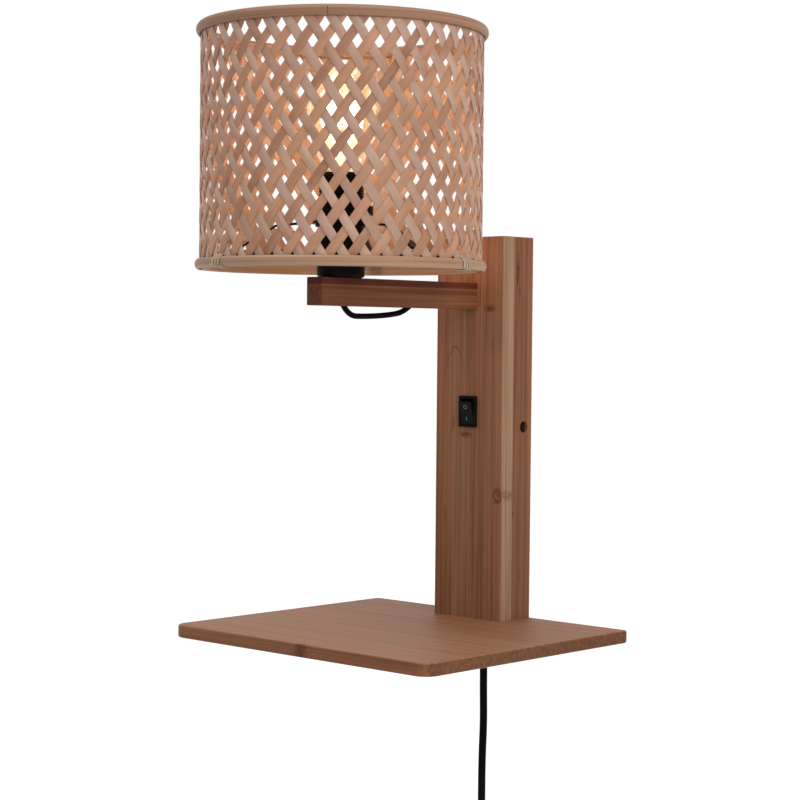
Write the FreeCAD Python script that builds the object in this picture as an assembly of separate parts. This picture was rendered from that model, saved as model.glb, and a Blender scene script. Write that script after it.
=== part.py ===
"""Wall lamp with a shelf: a hollow bamboo post on a wall bracket, a shelf under it, an arm in front
of it and a plaited bamboo shade on the arm. Millimetres, +Z up, the wall is the plane y = 0 and the
lamp stands out of it towards -Y. The origin is the middle of the wall bracket, on the wall."""

import FreeCAD, Part
import math
import os

from FreeCAD import Vector

# Shelf
SHELF_WIDTH = 236.0
SHELF_DEPTH = 205.0
SHELF_THICKNESS = 8.7
SHELF_FRONT_RADIUS = 11.0
SHELF_BACK_RADIUS = 4.0
SHELF_EDGE_ROUND = 1.5
SHELF_BELOW_BRACKET = 135.5

# Post
POST_WIDTH = 62.0
POST_HEIGHT = 269.0
FRONT_BOARD_THICKNESS = 12.0
CHEEK_THICKNESS = 11.0
CHEEK_DEPTH = 21.0
POST_EDGE_ROUND = 1.4
POST_HOUSING_DEPTH = 1.0
POST_HOUSING_CLEARANCE = 0.1
BLOCK_HEIGHT = 14.0

# Arm
ARM_WIDTH = 14.0
ARM_BAR_HEIGHT = 14.0
ARM_STRIP_HEIGHT = 4.5
ARM_LENGTH = 154.0
ARM_ABOVE_SHELF = 218.0
ARM_EDGE_ROUND = 0.6
GROOVE_WIDTH = 5.2
GROOVE_DEPTH = 5.6
GROOVE_LENGTH = 54.0

# Wall bracket and the screws through the cheeks
BRACKET_HEIGHT = 110.0
BRACKET_SHEET = 1.5
BRACKET_CLEARANCE = 0.2
LUG_DEPTH = 15.0
LUG_HEIGHT = 32.0
WALL_HOLE_SPACING = 80.0
WALL_HOLE_RADIUS = 2.5
SIDE_SCREW_RADIUS = 2.0
SIDE_SCREW_FROM_WALL = 9.5
SIDE_HEAD_RADIUS = 3.5
SIDE_HEAD_HEIGHT = 2.4
SIDE_RECESS_RADIUS = 4.0
SIDE_RECESS_DEPTH = 4.0
SIDE_SCREW_LENGTH = 10.5

# Wood screws
SHELF_SCREW_RADIUS = 2.0
SHELF_SCREW_HEAD_RADIUS = 4.0
SHELF_SCREW_LENGTH = 30.0
ARM_SCREW_RADIUS = 1.5
ARM_SCREW_HEAD_RADIUS = 2.8
ARM_SCREW_LENGTH = 34.0
ARM_SCREW_SPACING = 8.4
ARM_SCREW_ABOVE_ARM_BOTTOM = 4.2
SCREW_FIT = 0.05

# Rocker switch
SWITCH_ABOVE_SHELF = 146.0
BEZEL_WIDTH = 16.0
BEZEL_HEIGHT = 22.0
BEZEL_THICKNESS = 2.0
SWITCH_BODY_WIDTH = 13.4
SWITCH_BODY_HEIGHT = 19.6
SWITCH_BODY_DEPTH = 14.0
SWITCH_SIDE_WALL = 1.0
SWITCH_END_WALL = 0.7
SWITCH_BACK_WALL = 2.0
SWITCH_CUTOUT_CLEARANCE = 0.2
ROCKER_LENGTH = 15.8
ROCKER_CROWN = 5.0
ROCKER_DISH = 0.9
ROCKER_SIDE_CLEARANCE = 0.2
ROCKER_TILT = 12.0
PIVOT_BEHIND_FACE = 1.5
PIVOT_RADIUS = 1.2
PIVOT_CLEARANCE = 0.05
BLADE_WIDTH = 4.8
BLADE_THICKNESS = 0.8
BLADE_LENGTH = 7.0
BLADE_SPACING = 10.0

# Wiring inside the post
TERMINAL_WIDTH = 16.0
TERMINAL_DEPTH = 10.0
TERMINAL_HEIGHT = 12.0
TERMINAL_BELOW_BRACKET = 74.0
CLAMP_WIDTH = 24.0
CLAMP_HEIGHT = 9.0
CLAMP_BELOW_BRACKET = 106.0
CLAMP_SCREW_RADIUS = 1.5
CLAMP_SCREW_SPACING = 16.0
WIRE_DIAMETER = 2.0
WIRE_BEND_BELOW_BLADE = 16.2

# Lamp holder, on the arm
HOLDER_FROM_ARM_END = 24.5
HOLDER_HEIGHT = 68.5
CUP_RADIUS = 15.7
CUP_HEIGHT = 31.5
CUP_WALL = 2.0
CUP_ROUND = 2.0
SKIRT_RADIUS = 15.0
SKIRT_WALL = 1.8
SPIGOT_HEIGHT = 6.0
COLLAR_RADIUS = 17.0
COLLAR_HEIGHT = 2.0
COLLAR_ABOVE_CUP = 1.8
INSERT_FIT = 0.2
INSERT_HEIGHT = 46.0
NIPPLE_RADIUS = 5.0
NIPPLE_BORE_RADIUS = 3.2
NIPPLE_IN_ARM = 10.0
NUT_RADIUS = 8.0
NUT_HEIGHT = 3.0
SHELL_WALL = 0.7
SHELL_HEIGHT = 26.0

# Shade ring on the holder's thread
RING_RADIUS = 21.0
RING_SLEEVE_RADIUS = 16.6
RING_HEIGHT = 10.0
RING_FLANGE_HEIGHT = 5.6
RING_NOTCHES = 24
RING_CLEARANCE = 0.05

# Bulb
CAP_RADIUS = 6.95
CAP_HEIGHT = 24.0
CAP_WALL = 0.5
CAP_THREAD_CLEARANCE = 0.05
GLASS_RADIUS = 23.0
GLASS_HEIGHT = 75.5
GLASS_WALL = 0.9
GLASS_NECK_RADIUS = 6.2
GLASS_IN_CAP = 8.0
BULB_CONTACT_RADIUS = 2.4
BULB_CONTACT_GAP = 0.1
STEM_RADIUS = 1.5
FILAMENT_COUNT = 4
FILAMENT_RADIUS = 0.9
FILAMENT_LENGTH = 46.0
FILAMENT_FOOT_RADIUS = 7.0
FILAMENT_HEAD_RADIUS = 5.0

# Shade
SHADE_HEIGHT = 159.0
SHADE_ABOVE_ARM = 4.5
WEAVE_RADIUS = 93.0
WEAVE_THICKNESS = 1.6
WEAVE_INSET = 0.8
LATTICE_COLUMNS = 21
LATTICE_ROWS = 8
LATTICE_FIRST_ROW = 8.3
LATTICE_OPENING_WIDTH = 13.3
LATTICE_OPENING_HEIGHT = 19.4
LATTICE_PANEL_GAP = 0.3
STRIP_COUNT = 42
FIRST_OPENING_ANGLE = 0.98
HOOP_HEIGHT = 6.6
OUTER_HOOP_THICKNESS = 2.4
INNER_HOOP_THICKNESS = 2.2
HOOP_FIT = 0.25
HOOP_JOINT_GAP = 0.4
TOP_JOINT_ANGLE = 309.0
BOTTOM_JOINT_ANGLE = 150.0

# Shade carrier
HUB_SHEET = 1.5
HUB_WIDTH = 5.0
HUB_CLEARANCE = 0.3
LEG_COUNT = 3
LEG_WIDTH = 8.0
LEG_FIRST_ANGLE = 358.6
LEG_UPPER_BEND_RADIUS = 44.0
LEG_UPPER_BEND_DROP = 3.0
LEG_LOWER_BEND_RADIUS = 68.0
LEG_LOWER_BEND_RISE = 5.0
CARRIER_WIRE_RADIUS = 1.75
CARRIER_GAP = 0.2

# Cane bindings round the bottom hoops and the carrier
BINDING_WIDTH = 2.2
BINDING_THICKNESS = 0.8
BINDING_OPENINGS = (1, 15, 30)
BINDING_SLOT_CLEARANCE = 0.4

# Cords
MAINS_DIAMETER = 5.5
LEAD_DIAMETER = 3.8
LEAD_CLEARANCE = 0.7
MAINS_X = 2.0
MAINS_FROM_WALL = 16.0
BOOT_LENGTH = 22.0
BOOT_TOP_RADIUS = 5.0
BOOT_TIP_RADIUS = 3.4
BOOT_FLANGE_RADIUS = 6.5
BOOT_FLANGE_HEIGHT = 2.0
CORD_FIT = 0.05

# Coil of the mains cord, which hangs under the shelf
COIL_MIDDLE_RADIUS = 33.0
COIL_PITCH = 6.1
COIL_LAYERS = 4
COIL_TURNS_PER_LAYER = 2
COIL_START_ANGLE = 135.0
COIL_EXTRA_TURN = 0.125
COIL_CENTRE_BELOW_BRACKET = 348.0
COIL_TAIL = 14.0
TIE_ANGLE = 157.5
TIE_WIDTH = 8.0
TIE_THICKNESS = 1.2
TIE_CLEARANCE = 0.6

# Plug
PLUG_LENGTH = 30.0
PLUG_WIDTH = 26.0
PLUG_DEPTH = 13.7
PLUG_NOSE_LENGTH = 10.0
PLUG_NECK_RADIUS = 4.2
PLUG_NECK_LENGTH = 8.0
PIN_RADIUS = 2.0
PIN_LENGTH = 19.0
PIN_SPACING = 18.6

# Worked out from the sizes above
SHELF_TOP = -SHELF_BELOW_BRACKET
SHELF_BOTTOM = SHELF_TOP - SHELF_THICKNESS
POST_FOOT = SHELF_TOP - POST_HOUSING_DEPTH
POST_TOP = SHELF_TOP + POST_HEIGHT
POST_FRONT = -(CHEEK_DEPTH + FRONT_BOARD_THICKNESS)
CAVITY_HALF = POST_WIDTH / 2 - CHEEK_THICKNESS
ARM_BOTTOM = SHELF_TOP + ARM_ABOVE_SHELF
ARM_BAR_TOP = ARM_BOTTOM + ARM_BAR_HEIGHT
ARM_TOP = ARM_BAR_TOP + ARM_STRIP_HEIGHT
ARM_END = POST_FRONT - ARM_LENGTH
HOLDER_Y = ARM_END + HOLDER_FROM_ARM_END
CUP_TOP = ARM_TOP + CUP_HEIGHT
HOLDER_TOP = ARM_TOP + HOLDER_HEIGHT
COLLAR_TOP = CUP_TOP + COLLAR_ABOVE_CUP + COLLAR_HEIGHT
HUB_TOP = COLLAR_TOP + HUB_SHEET
INSERT_TOP = HOLDER_TOP - 5.0
INSERT_RADIUS = SKIRT_RADIUS - SKIRT_WALL - INSERT_FIT
SHELL_INNER_RADIUS = CAP_RADIUS + CAP_THREAD_CLEARANCE
SHELL_OUTER_RADIUS = SHELL_INNER_RADIUS + SHELL_WALL
SHELL_TOP = INSERT_TOP - 1.0
CAP_TOP = HOLDER_TOP - 1.5
CAP_BOTTOM = CAP_TOP - CAP_HEIGHT
SHADE_BOTTOM = ARM_TOP + SHADE_ABOVE_ARM
SHADE_TOP = SHADE_BOTTOM + SHADE_HEIGHT
WEAVE_IN = WEAVE_RADIUS - WEAVE_THICKNESS
OUTER_HOOP_IN = WEAVE_RADIUS + HOOP_FIT
INNER_HOOP_OUT = WEAVE_IN - HOOP_FIT
SWITCH_Z = SHELF_TOP + SWITCH_ABOVE_SHELF
MAINS_AXIS = Vector(MAINS_X, -MAINS_FROM_WALL, 0)
TERMINAL_BOTTOM = -TERMINAL_BELOW_BRACKET - TERMINAL_HEIGHT
TERMINAL_TOP = -TERMINAL_BELOW_BRACKET
BOOT_TIP = SHELF_BOTTOM - BOOT_LENGTH
COIL_Z = -COIL_CENTRE_BELOW_BRACKET

# Where the lead runs: up the post, along the arm, in a loop under it and up into the holder
LOOP_START = POST_FRONT - 68.5
LOOP_END = HOLDER_Y + 23.5
LEAD_POINTS = [
    (4.5, -MAINS_FROM_WALL, TERMINAL_TOP),
    (4.5, -MAINS_FROM_WALL, TERMINAL_TOP + 16.0),
    (8.8, -12.2, SWITCH_Z - 48.5),
    (11.3, -8.6, SWITCH_Z - 22.5),
    (11.0, -7.2, SWITCH_Z + 7.5),
    (7.6, -5.2, (SWITCH_Z + 7.5 + ARM_BOTTOM - 19.5) / 2),
    (0.8, -4.6, ARM_BOTTOM - 19.5),
    (0.0, -4.9, ARM_BOTTOM + 0.3),
    (0.0, -CHEEK_DEPTH + GROOVE_DEPTH, ARM_BAR_TOP - 3.2),
    (0.0, POST_FRONT - 0.4, ARM_BAR_TOP - 3.2),
    (0.0, POST_FRONT - 29.0, ARM_BAR_TOP - 2.9),
    (0.0, POST_FRONT - GROOVE_LENGTH + 2.5, ARM_BAR_TOP - 4.1),
    (0.0, LOOP_START, ARM_BOTTOM - 3.3),
    (0.0, (LOOP_START + LOOP_END) / 2, ARM_BOTTOM - 5.6),
    (0.0, LOOP_END, ARM_BOTTOM - 6.5),
    (0.0, HOLDER_Y + 9.1, ARM_BOTTOM - 6.4),
    (0.0, HOLDER_Y, ARM_BOTTOM + 2.7),
    (0.0, HOLDER_Y, ARM_TOP + 7.0),
]

# Where the mains cord hangs, from the boot under the shelf to the start of its coil
MAINS_POINTS = [
    (MAINS_X, -MAINS_FROM_WALL, BOOT_TIP),
    (MAINS_X, -MAINS_FROM_WALL, BOOT_TIP - 21.5),
    (1.2, -15.7, BOOT_TIP - 45.5),
    (0.2, -16.2, BOOT_TIP - 71.5),
    (0.3, -15.5, COIL_Z + 78.0),
    (-6.0, -6.85, COIL_Z + 49.3),
]


def box(x0, x1, y0, y1, z0, z1):
    return Part.makeBox(x1 - x0, y1 - y0, z1 - z0, Vector(x0, y0, z0))


def rod(start, end, radius):
    run = end - start
    return Part.makeCylinder(radius, run.Length, start, run)


def cone(start, end, start_radius, end_radius):
    run = end - start
    return Part.makeCone(start_radius, end_radius, run.Length, start, run)


def on_holder(z):
    return Vector(0, HOLDER_Y, z)


def turned(outline, sweep=360.0, start=0.0):
    """A closed outline of (radius, height) points, turned about the lamp holder's axis."""
    corners = [Vector(r, HOLDER_Y, z) for r, z in outline]
    return turned_wire(Part.makePolygon(corners + corners[:1]), sweep, start)


def turned_wire(wire, sweep=360.0, start=0.0):
    wire.rotate(on_holder(0), Vector(0, 0, 1), start)
    return Part.Face(wire).revolve(on_holder(0), Vector(0, 0, 1), sweep)


def rounded(shape, radius, wanted):
    """Rounds the edges of a shape for which wanted(edge) is true."""
    edges = [edge for edge in shape.Edges if wanted(edge)]
    return shape.makeFillet(radius, edges) if edges else shape


def along(edge, axis):
    ends = [v.Point for v in edge.Vertexes]
    return len(ends) == 2 and abs((ends[1] - ends[0]).normalize().dot(axis)) > 0.999


def save(node, *solids):
    shape = solids[0] if len(solids) == 1 else Part.makeCompound(list(solids))
    volume = sum(solid.Volume for solid in shape.Solids)
    print("%-24s solids %3d  volume %10.1f  valid %s" % (node, len(shape.Solids), volume, shape.isValid()))
    shape.exportStep("parts/%s.step" % node)


# ---------------------------------------------------------------- cord paths


def corner_arc(before, corner, after, share=0.45):
    """The arc that rounds a corner of a route: share of the shorter run is its tangent length."""
    back = (before - corner).normalize()
    on = (after - corner).normalize()
    reach = share * min((before - corner).Length, (after - corner).Length)
    half_turn = (math.pi - back.getAngle(on)) / 2
    radius = reach / math.tan(half_turn)
    bisector = (back + on).normalize()
    middle = corner + bisector * (radius / math.cos(half_turn) - radius)
    return Part.Arc(corner + back * reach, middle, corner + on * reach), radius


def route_edges(points):
    """Straight runs joined by tangent arcs, and the radii of the arcs."""
    points = [Vector(*p) for p in points]
    edges, radii = [], []
    at = points[0]
    for before, corner, after in zip(points, points[1:], points[2:]):
        arc, radius = corner_arc(before, corner, after)
        edges += [Part.LineSegment(at, arc.StartPoint).toShape(), arc.toShape()]
        radii.append(radius)
        at = arc.EndPoint
    edges.append(Part.LineSegment(at, points[-1]).toShape())
    return edges, radii


def pipe(edges, radius):
    """A round solid along a chain of edges."""
    path = Part.Wire(edges)
    start = edges[0].valueAt(edges[0].FirstParameter)
    heading = edges[0].tangentAt(edges[0].FirstParameter)
    ring = Part.Wire(Part.Circle(start, heading, radius).toShape())
    shell = Part.BRepOffsetAPI.MakePipeShell(path)
    shell.add(ring)
    shell.build()
    shell.makeSolid()
    return shell.shape()


def cord(name, points, diameter):
    edges, radii = route_edges(points)
    solid = pipe(edges, diameter / 2)
    length = sum(edge.Length for edge in edges)
    section = math.pi * diameter**2 / 4
    print("%s: length %.1f, radii %s" % (name, length, " ".join("%.0f" % r for r in radii)))
    print("%s: volume over section times length %.4f" % (name, solid.Volume / (section * length)))
    return solid


# ---------------------------------------------------------------- shelf and post


def shelf_screw_places():
    side = POST_WIDTH / 2 - CHEEK_THICKNESS / 2
    front = -(CHEEK_DEPTH + FRONT_BOARD_THICKNESS / 2)
    return [(-side, -CHEEK_DEPTH / 2), (side, -CHEEK_DEPTH / 2), (0, front)]


def shelf_screw(x, y, slack=0.0):
    """A countersunk screw, driven up from under the shelf."""
    foot = Vector(x, y, SHELF_BOTTOM)
    shank_radius = SHELF_SCREW_RADIUS + slack
    head_radius = SHELF_SCREW_HEAD_RADIUS + slack
    head_height = SHELF_SCREW_HEAD_RADIUS - SHELF_SCREW_RADIUS
    shank = rod(foot, foot + Vector(0, 0, SHELF_SCREW_LENGTH + slack), shank_radius)
    head = cone(foot, foot + Vector(0, 0, head_height), head_radius, shank_radius)
    return shank.fuse(head)


def cord_hole(z0, z1, radius):
    return rod(MAINS_AXIS + Vector(0, 0, z0), MAINS_AXIS + Vector(0, 0, z1), radius)


def shelf_board():
    """The shelf, with a shallow housing that the post stands in."""
    half = SHELF_WIDTH / 2
    board = box(-half, half, -SHELF_DEPTH, 0, SHELF_BOTTOM, SHELF_TOP)
    up = Vector(0, 0, 1)
    front = lambda edge: along(edge, up) and edge.CenterOfMass.y < -SHELF_DEPTH / 2
    back = lambda edge: along(edge, up) and abs(edge.CenterOfMass.y) < 0.01
    board = rounded(board, SHELF_FRONT_RADIUS, front)
    board = rounded(board, SHELF_BACK_RADIUS, back)
    rims = lambda edge: abs(edge.CenterOfMass.z - (SHELF_TOP + SHELF_BOTTOM) / 2) > SHELF_THICKNESS * 0.49
    board = rounded(board, min(SHELF_EDGE_ROUND, SHELF_THICKNESS * 0.4), rims)
    housing = POST_WIDTH / 2 + POST_HOUSING_CLEARANCE
    board = board.cut(box(-housing, housing, POST_FRONT - POST_HOUSING_CLEARANCE, 1, POST_FOOT, SHELF_TOP + 1))
    for x, y in shelf_screw_places():
        board = board.cut(shelf_screw(x, y, SCREW_FIT))
    return board.cut(cord_hole(SHELF_BOTTOM - 1, SHELF_TOP + 1, BOOT_TOP_RADIUS + CORD_FIT))


def outer_post_edge(edge):
    x, y, z = edge.CenterOfMass
    on_side = abs(abs(x) - POST_WIDTH / 2) < 0.01
    on_front = abs(y - POST_FRONT) < 0.01
    on_top = abs(z - POST_TOP) < 0.01
    upright = along(edge, Vector(0, 0, 1))
    return (upright and on_side and (on_front or abs(y) < 0.01)) or (on_top and (on_side or on_front))


def post_front_board():
    board = box(-POST_WIDTH / 2, POST_WIDTH / 2, POST_FRONT, -CHEEK_DEPTH, POST_FOOT, POST_TOP)
    board = rounded(board, POST_EDGE_ROUND, outer_post_edge)
    half_wide = SWITCH_BODY_WIDTH / 2 + SWITCH_CUTOUT_CLEARANCE
    half_tall = SWITCH_BODY_HEIGHT / 2 + SWITCH_CUTOUT_CLEARANCE
    board = board.cut(box(-half_wide, half_wide, POST_FRONT - 1, -CHEEK_DEPTH + 1,
                          SWITCH_Z - half_tall, SWITCH_Z + half_tall))
    board = board.cut(lead_channel())
    for solid in arm_screws(SCREW_FIT) + clamp_screws(SCREW_FIT):
        board = board.cut(solid)
    for x, y in shelf_screw_places():
        board = board.cut(shelf_screw(x, y, SCREW_FIT))
    return board


def post_cheek(side):
    inner, outer = side * CAVITY_HALF, side * POST_WIDTH / 2
    cheek = box(min(inner, outer), max(inner, outer), -CHEEK_DEPTH, 0, POST_FOOT, POST_TOP)
    cheek = rounded(cheek, POST_EDGE_ROUND, outer_post_edge)
    face = Vector(outer, -SIDE_SCREW_FROM_WALL, 0)
    inward = Vector(-side, 0, 0)
    cheek = cheek.cut(rod(face - inward, face + inward * SIDE_RECESS_DEPTH, SIDE_RECESS_RADIUS))
    cheek = cheek.cut(rod(face, face + inward * (CHEEK_THICKNESS + 1), SIDE_SCREW_RADIUS + 0.2))
    for x, y in shelf_screw_places():
        cheek = cheek.cut(shelf_screw(x, y, SCREW_FIT))
    return cheek


def post_block(z0, z1):
    return box(-CAVITY_HALF, CAVITY_HALF, -CHEEK_DEPTH, 0, z0, z1)


def post_foot_block():
    block = post_block(POST_FOOT, SHELF_TOP + BLOCK_HEIGHT)
    return block.cut(cord_hole(POST_FOOT - 1, SHELF_TOP + BLOCK_HEIGHT + 1, BOOT_TOP_RADIUS + CORD_FIT))


# ---------------------------------------------------------------- wall bracket


def wall_bracket():
    """A steel plate on the wall, with a threaded lug bent out at each side."""
    half = CAVITY_HALF - BRACKET_CLEARANCE
    plate = box(-half, half, -BRACKET_SHEET, 0, -BRACKET_HEIGHT / 2, BRACKET_HEIGHT / 2)
    plate = rounded(plate, 5.0, lambda edge: along(edge, Vector(0, 1, 0)))
    for side in (-1, 1):
        outer, inner = side * half, side * (half - BRACKET_SHEET)
        lug = box(min(outer, inner), max(outer, inner), -LUG_DEPTH, 0, -LUG_HEIGHT / 2, LUG_HEIGHT / 2)
        ends = lambda edge: along(edge, Vector(1, 0, 0)) and edge.CenterOfMass.y < -LUG_DEPTH / 2
        plate = plate.fuse(rounded(lug, 4.0, ends))
    through = Vector(2 * CAVITY_HALF, 0, 0)
    thread = Vector(-CAVITY_HALF, -SIDE_SCREW_FROM_WALL, 0)
    plate = plate.cut(rod(thread, thread + through, SIDE_SCREW_RADIUS + SCREW_FIT))
    for side in (-1, 1):
        hole = Vector(0, 1, side * WALL_HOLE_SPACING / 2)
        plate = plate.cut(rod(hole, hole - Vector(0, BRACKET_SHEET + 2, 0), WALL_HOLE_RADIUS))
    return plate.removeSplitter()


def side_screw(side):
    """A screw with a round head, sunk in the cheek and driven into the bracket's lug."""
    seat = Vector(side * (POST_WIDTH / 2 - SIDE_RECESS_DEPTH), -SIDE_SCREW_FROM_WALL, 0)
    out = Vector(side, 0, 0)
    head = rod(seat, seat + out * SIDE_HEAD_HEIGHT, SIDE_HEAD_RADIUS)
    rim = lambda edge: abs(edge.CenterOfMass.x - (seat + out * SIDE_HEAD_HEIGHT).x) < 0.01
    head = rounded(head, 0.8, rim)
    slot = box(-6, 6, -0.5, 0.5, -SIDE_HEAD_RADIUS, SIDE_HEAD_RADIUS)
    slot.translate(seat + out * (SIDE_HEAD_HEIGHT + 6 - 1.0))
    return head.cut(slot).fuse(rod(seat, seat - out * SIDE_SCREW_LENGTH, SIDE_SCREW_RADIUS))


# ---------------------------------------------------------------- arm


def lead_channel():
    """The room that the lead needs inside the wood."""
    edges = route_edges(LEAD_POINTS)[0]
    return pipe(edges, LEAD_DIAMETER / 2 + LEAD_CLEARANCE)


def nipple_hole():
    return rod(on_holder(ARM_BOTTOM - 1), on_holder(ARM_TOP + 1), NIPPLE_RADIUS + SCREW_FIT)


def arm_screws(slack=0.0):
    """Screws from inside the post through the front board, into the arm's end."""
    z = ARM_BOTTOM + ARM_SCREW_ABOVE_ARM_BOTTOM
    screws = []
    for side in (-1, 1):
        head = Vector(side * ARM_SCREW_SPACING / 2, -CHEEK_DEPTH, z)
        tip = head - Vector(0, ARM_SCREW_LENGTH + slack, 0)
        sink = head - Vector(0, ARM_SCREW_HEAD_RADIUS - ARM_SCREW_RADIUS, 0)
        shank = rod(head, tip, ARM_SCREW_RADIUS + slack)
        screws.append(shank.fuse(cone(head, sink, ARM_SCREW_HEAD_RADIUS + slack, ARM_SCREW_RADIUS + slack)))
    return screws


def arm_edge(edge):
    x, y, z = edge.CenterOfMass
    lengthways = along(edge, Vector(0, 1, 0)) and (abs(z - ARM_BOTTOM) < 0.01 or abs(z - ARM_TOP) < 0.01)
    at_end = abs(y - ARM_END) < 0.01 and abs(z - ARM_BAR_TOP) > 0.01
    return lengthways or at_end


def arm_bar():
    half = ARM_WIDTH / 2
    bar = box(-half, half, ARM_END, POST_FRONT, ARM_BOTTOM, ARM_BAR_TOP)
    bar = rounded(bar, ARM_EDGE_ROUND, arm_edge)
    groove_end = POST_FRONT - GROOVE_LENGTH
    bar = bar.cut(box(-GROOVE_WIDTH / 2, GROOVE_WIDTH / 2, groove_end, POST_FRONT + 1,
                      ARM_BAR_TOP - GROOVE_DEPTH, ARM_BAR_TOP + 1))
    bar = bar.cut(lead_channel()).cut(nipple_hole())
    for solid in arm_screws(SCREW_FIT):
        bar = bar.cut(solid)
    return bar


def arm_cover_strip():
    half = ARM_WIDTH / 2
    strip = box(-half, half, ARM_END, POST_FRONT, ARM_BAR_TOP, ARM_TOP)
    return rounded(strip, ARM_EDGE_ROUND, arm_edge).cut(nipple_hole())


# ---------------------------------------------------------------- rocker switch


def switch_housing():
    face = POST_FRONT - BEZEL_THICKNESS
    back = POST_FRONT + SWITCH_BODY_DEPTH
    half_wide, half_tall = SWITCH_BODY_WIDTH / 2, SWITCH_BODY_HEIGHT / 2
    bezel = box(-BEZEL_WIDTH / 2, BEZEL_WIDTH / 2, face, POST_FRONT,
                SWITCH_Z - BEZEL_HEIGHT / 2, SWITCH_Z + BEZEL_HEIGHT / 2)
    bezel = rounded(bezel, 1.0, lambda edge: along(edge, Vector(0, 1, 0)))
    bezel = rounded(bezel, 0.7, lambda edge: abs(edge.CenterOfMass.y - face) < 0.01)
    body = box(-half_wide, half_wide, POST_FRONT, back, SWITCH_Z - half_tall, SWITCH_Z + half_tall)
    inner_wide, inner_tall = half_wide - SWITCH_SIDE_WALL, half_tall - SWITCH_END_WALL
    room = box(-inner_wide, inner_wide, face - 1, back - SWITCH_BACK_WALL,
               SWITCH_Z - inner_tall, SWITCH_Z + inner_tall)
    pin = Vector(half_wide - 0.3, POST_FRONT + PIVOT_BEHIND_FACE, SWITCH_Z)
    housing = bezel.fuse(body).cut(room)
    housing = housing.cut(rod(pin, pin - Vector(2 * pin.x, 0, 0), PIVOT_RADIUS + PIVOT_CLEARANCE))
    for blade in switch_blades(SCREW_FIT):
        housing = housing.cut(blade)
    return housing.removeSplitter()


def switch_blades(slack=0.0):
    back = POST_FRONT + SWITCH_BODY_DEPTH
    blades = []
    for side in (-1, 1):
        z = SWITCH_Z + side * BLADE_SPACING / 2
        blades.append(box(-BLADE_WIDTH / 2 - slack, BLADE_WIDTH / 2 + slack,
                          back - SWITCH_BACK_WALL - 0.8, back - SWITCH_BACK_WALL + BLADE_LENGTH,
                          z - BLADE_THICKNESS / 2 - slack, z + BLADE_THICKNESS / 2 + slack))
    return blades


def switch_rocker():
    """A rocker with a dished front, pressed at its lower half, on two stub pins."""
    half = ROCKER_LENGTH / 2
    wide = SWITCH_BODY_WIDTH / 2 - SWITCH_SIDE_WALL - ROCKER_SIDE_CLEARANCE
    pivot = Vector(0, POST_FRONT + PIVOT_BEHIND_FACE, SWITCH_Z)
    at = lambda u, w: pivot + Vector(-wide, -w, u)
    front = Part.Arc(at(half, ROCKER_CROWN), at(0, ROCKER_CROWN - ROCKER_DISH), at(-half, ROCKER_CROWN))
    heel = 0.55 * half
    under = [at(-half, ROCKER_CROWN), at(-half * 0.96, 0.6), at(-heel, -3.4), at(heel, -3.4),
             at(half * 0.96, 0.6), at(half, ROCKER_CROWN)]
    wire = Part.Wire([front.toShape()] + Part.makePolygon(under).Edges)
    rocker = Part.Face(wire).extrude(Vector(2 * wide, 0, 0))
    reach = wide + SWITCH_SIDE_WALL * 0.6
    rocker = rocker.fuse(rod(pivot - Vector(reach, 0, 0), pivot + Vector(reach, 0, 0), PIVOT_RADIUS))
    rocker.rotate(pivot, Vector(1, 0, 0), ROCKER_TILT)
    return rocker


# ---------------------------------------------------------------- wiring in the post


def terminal_block():
    x = MAINS_X
    front, back = -CHEEK_DEPTH, -CHEEK_DEPTH + TERMINAL_DEPTH
    block = box(x - TERMINAL_WIDTH / 2, x + TERMINAL_WIDTH / 2, front, back, TERMINAL_BOTTOM, TERMINAL_TOP)
    for side in (-1, 1):
        head = Vector(x + side * TERMINAL_WIDTH / 4, back, (TERMINAL_TOP + TERMINAL_BOTTOM) / 2)
        block = block.cut(rod(head + Vector(0, 1, 0), head - Vector(0, 3, 0), 2.0))
    return rounded(block, 0.8, lambda edge: along(edge, Vector(0, 0, 1)) and edge.CenterOfMass.y > front + 1)


def terminal_screws():
    screws = []
    for side in (-1, 1):
        x = MAINS_X + side * TERMINAL_WIDTH / 4
        head = Vector(x, -CHEEK_DEPTH + TERMINAL_DEPTH - 3, (TERMINAL_TOP + TERMINAL_BOTTOM) / 2)
        slot = box(x - 0.3, x + 0.3, head.y + 1.2, head.y + 3, head.z - 2, head.z + 2)
        screws.append(rod(head, head + Vector(0, 2, 0), 2.0 - SCREW_FIT).cut(slot))
    return screws


def clamp_screws(slack=0.0):
    z = -CLAMP_BELOW_BRACKET
    back = -MAINS_FROM_WALL + MAINS_DIAMETER / 2 + 2.0
    screws = []
    for side in (-1, 1):
        head = Vector(MAINS_X + side * CLAMP_SCREW_SPACING / 2, back, z)
        tip = Vector(head.x, -CHEEK_DEPTH - 7.0 - slack, z)
        dome = rod(head, head + Vector(0, 1.6, 0), 2 * CLAMP_SCREW_RADIUS)
        screws.append(dome.fuse(rod(head, tip, CLAMP_SCREW_RADIUS + slack)))
    return screws


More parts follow.
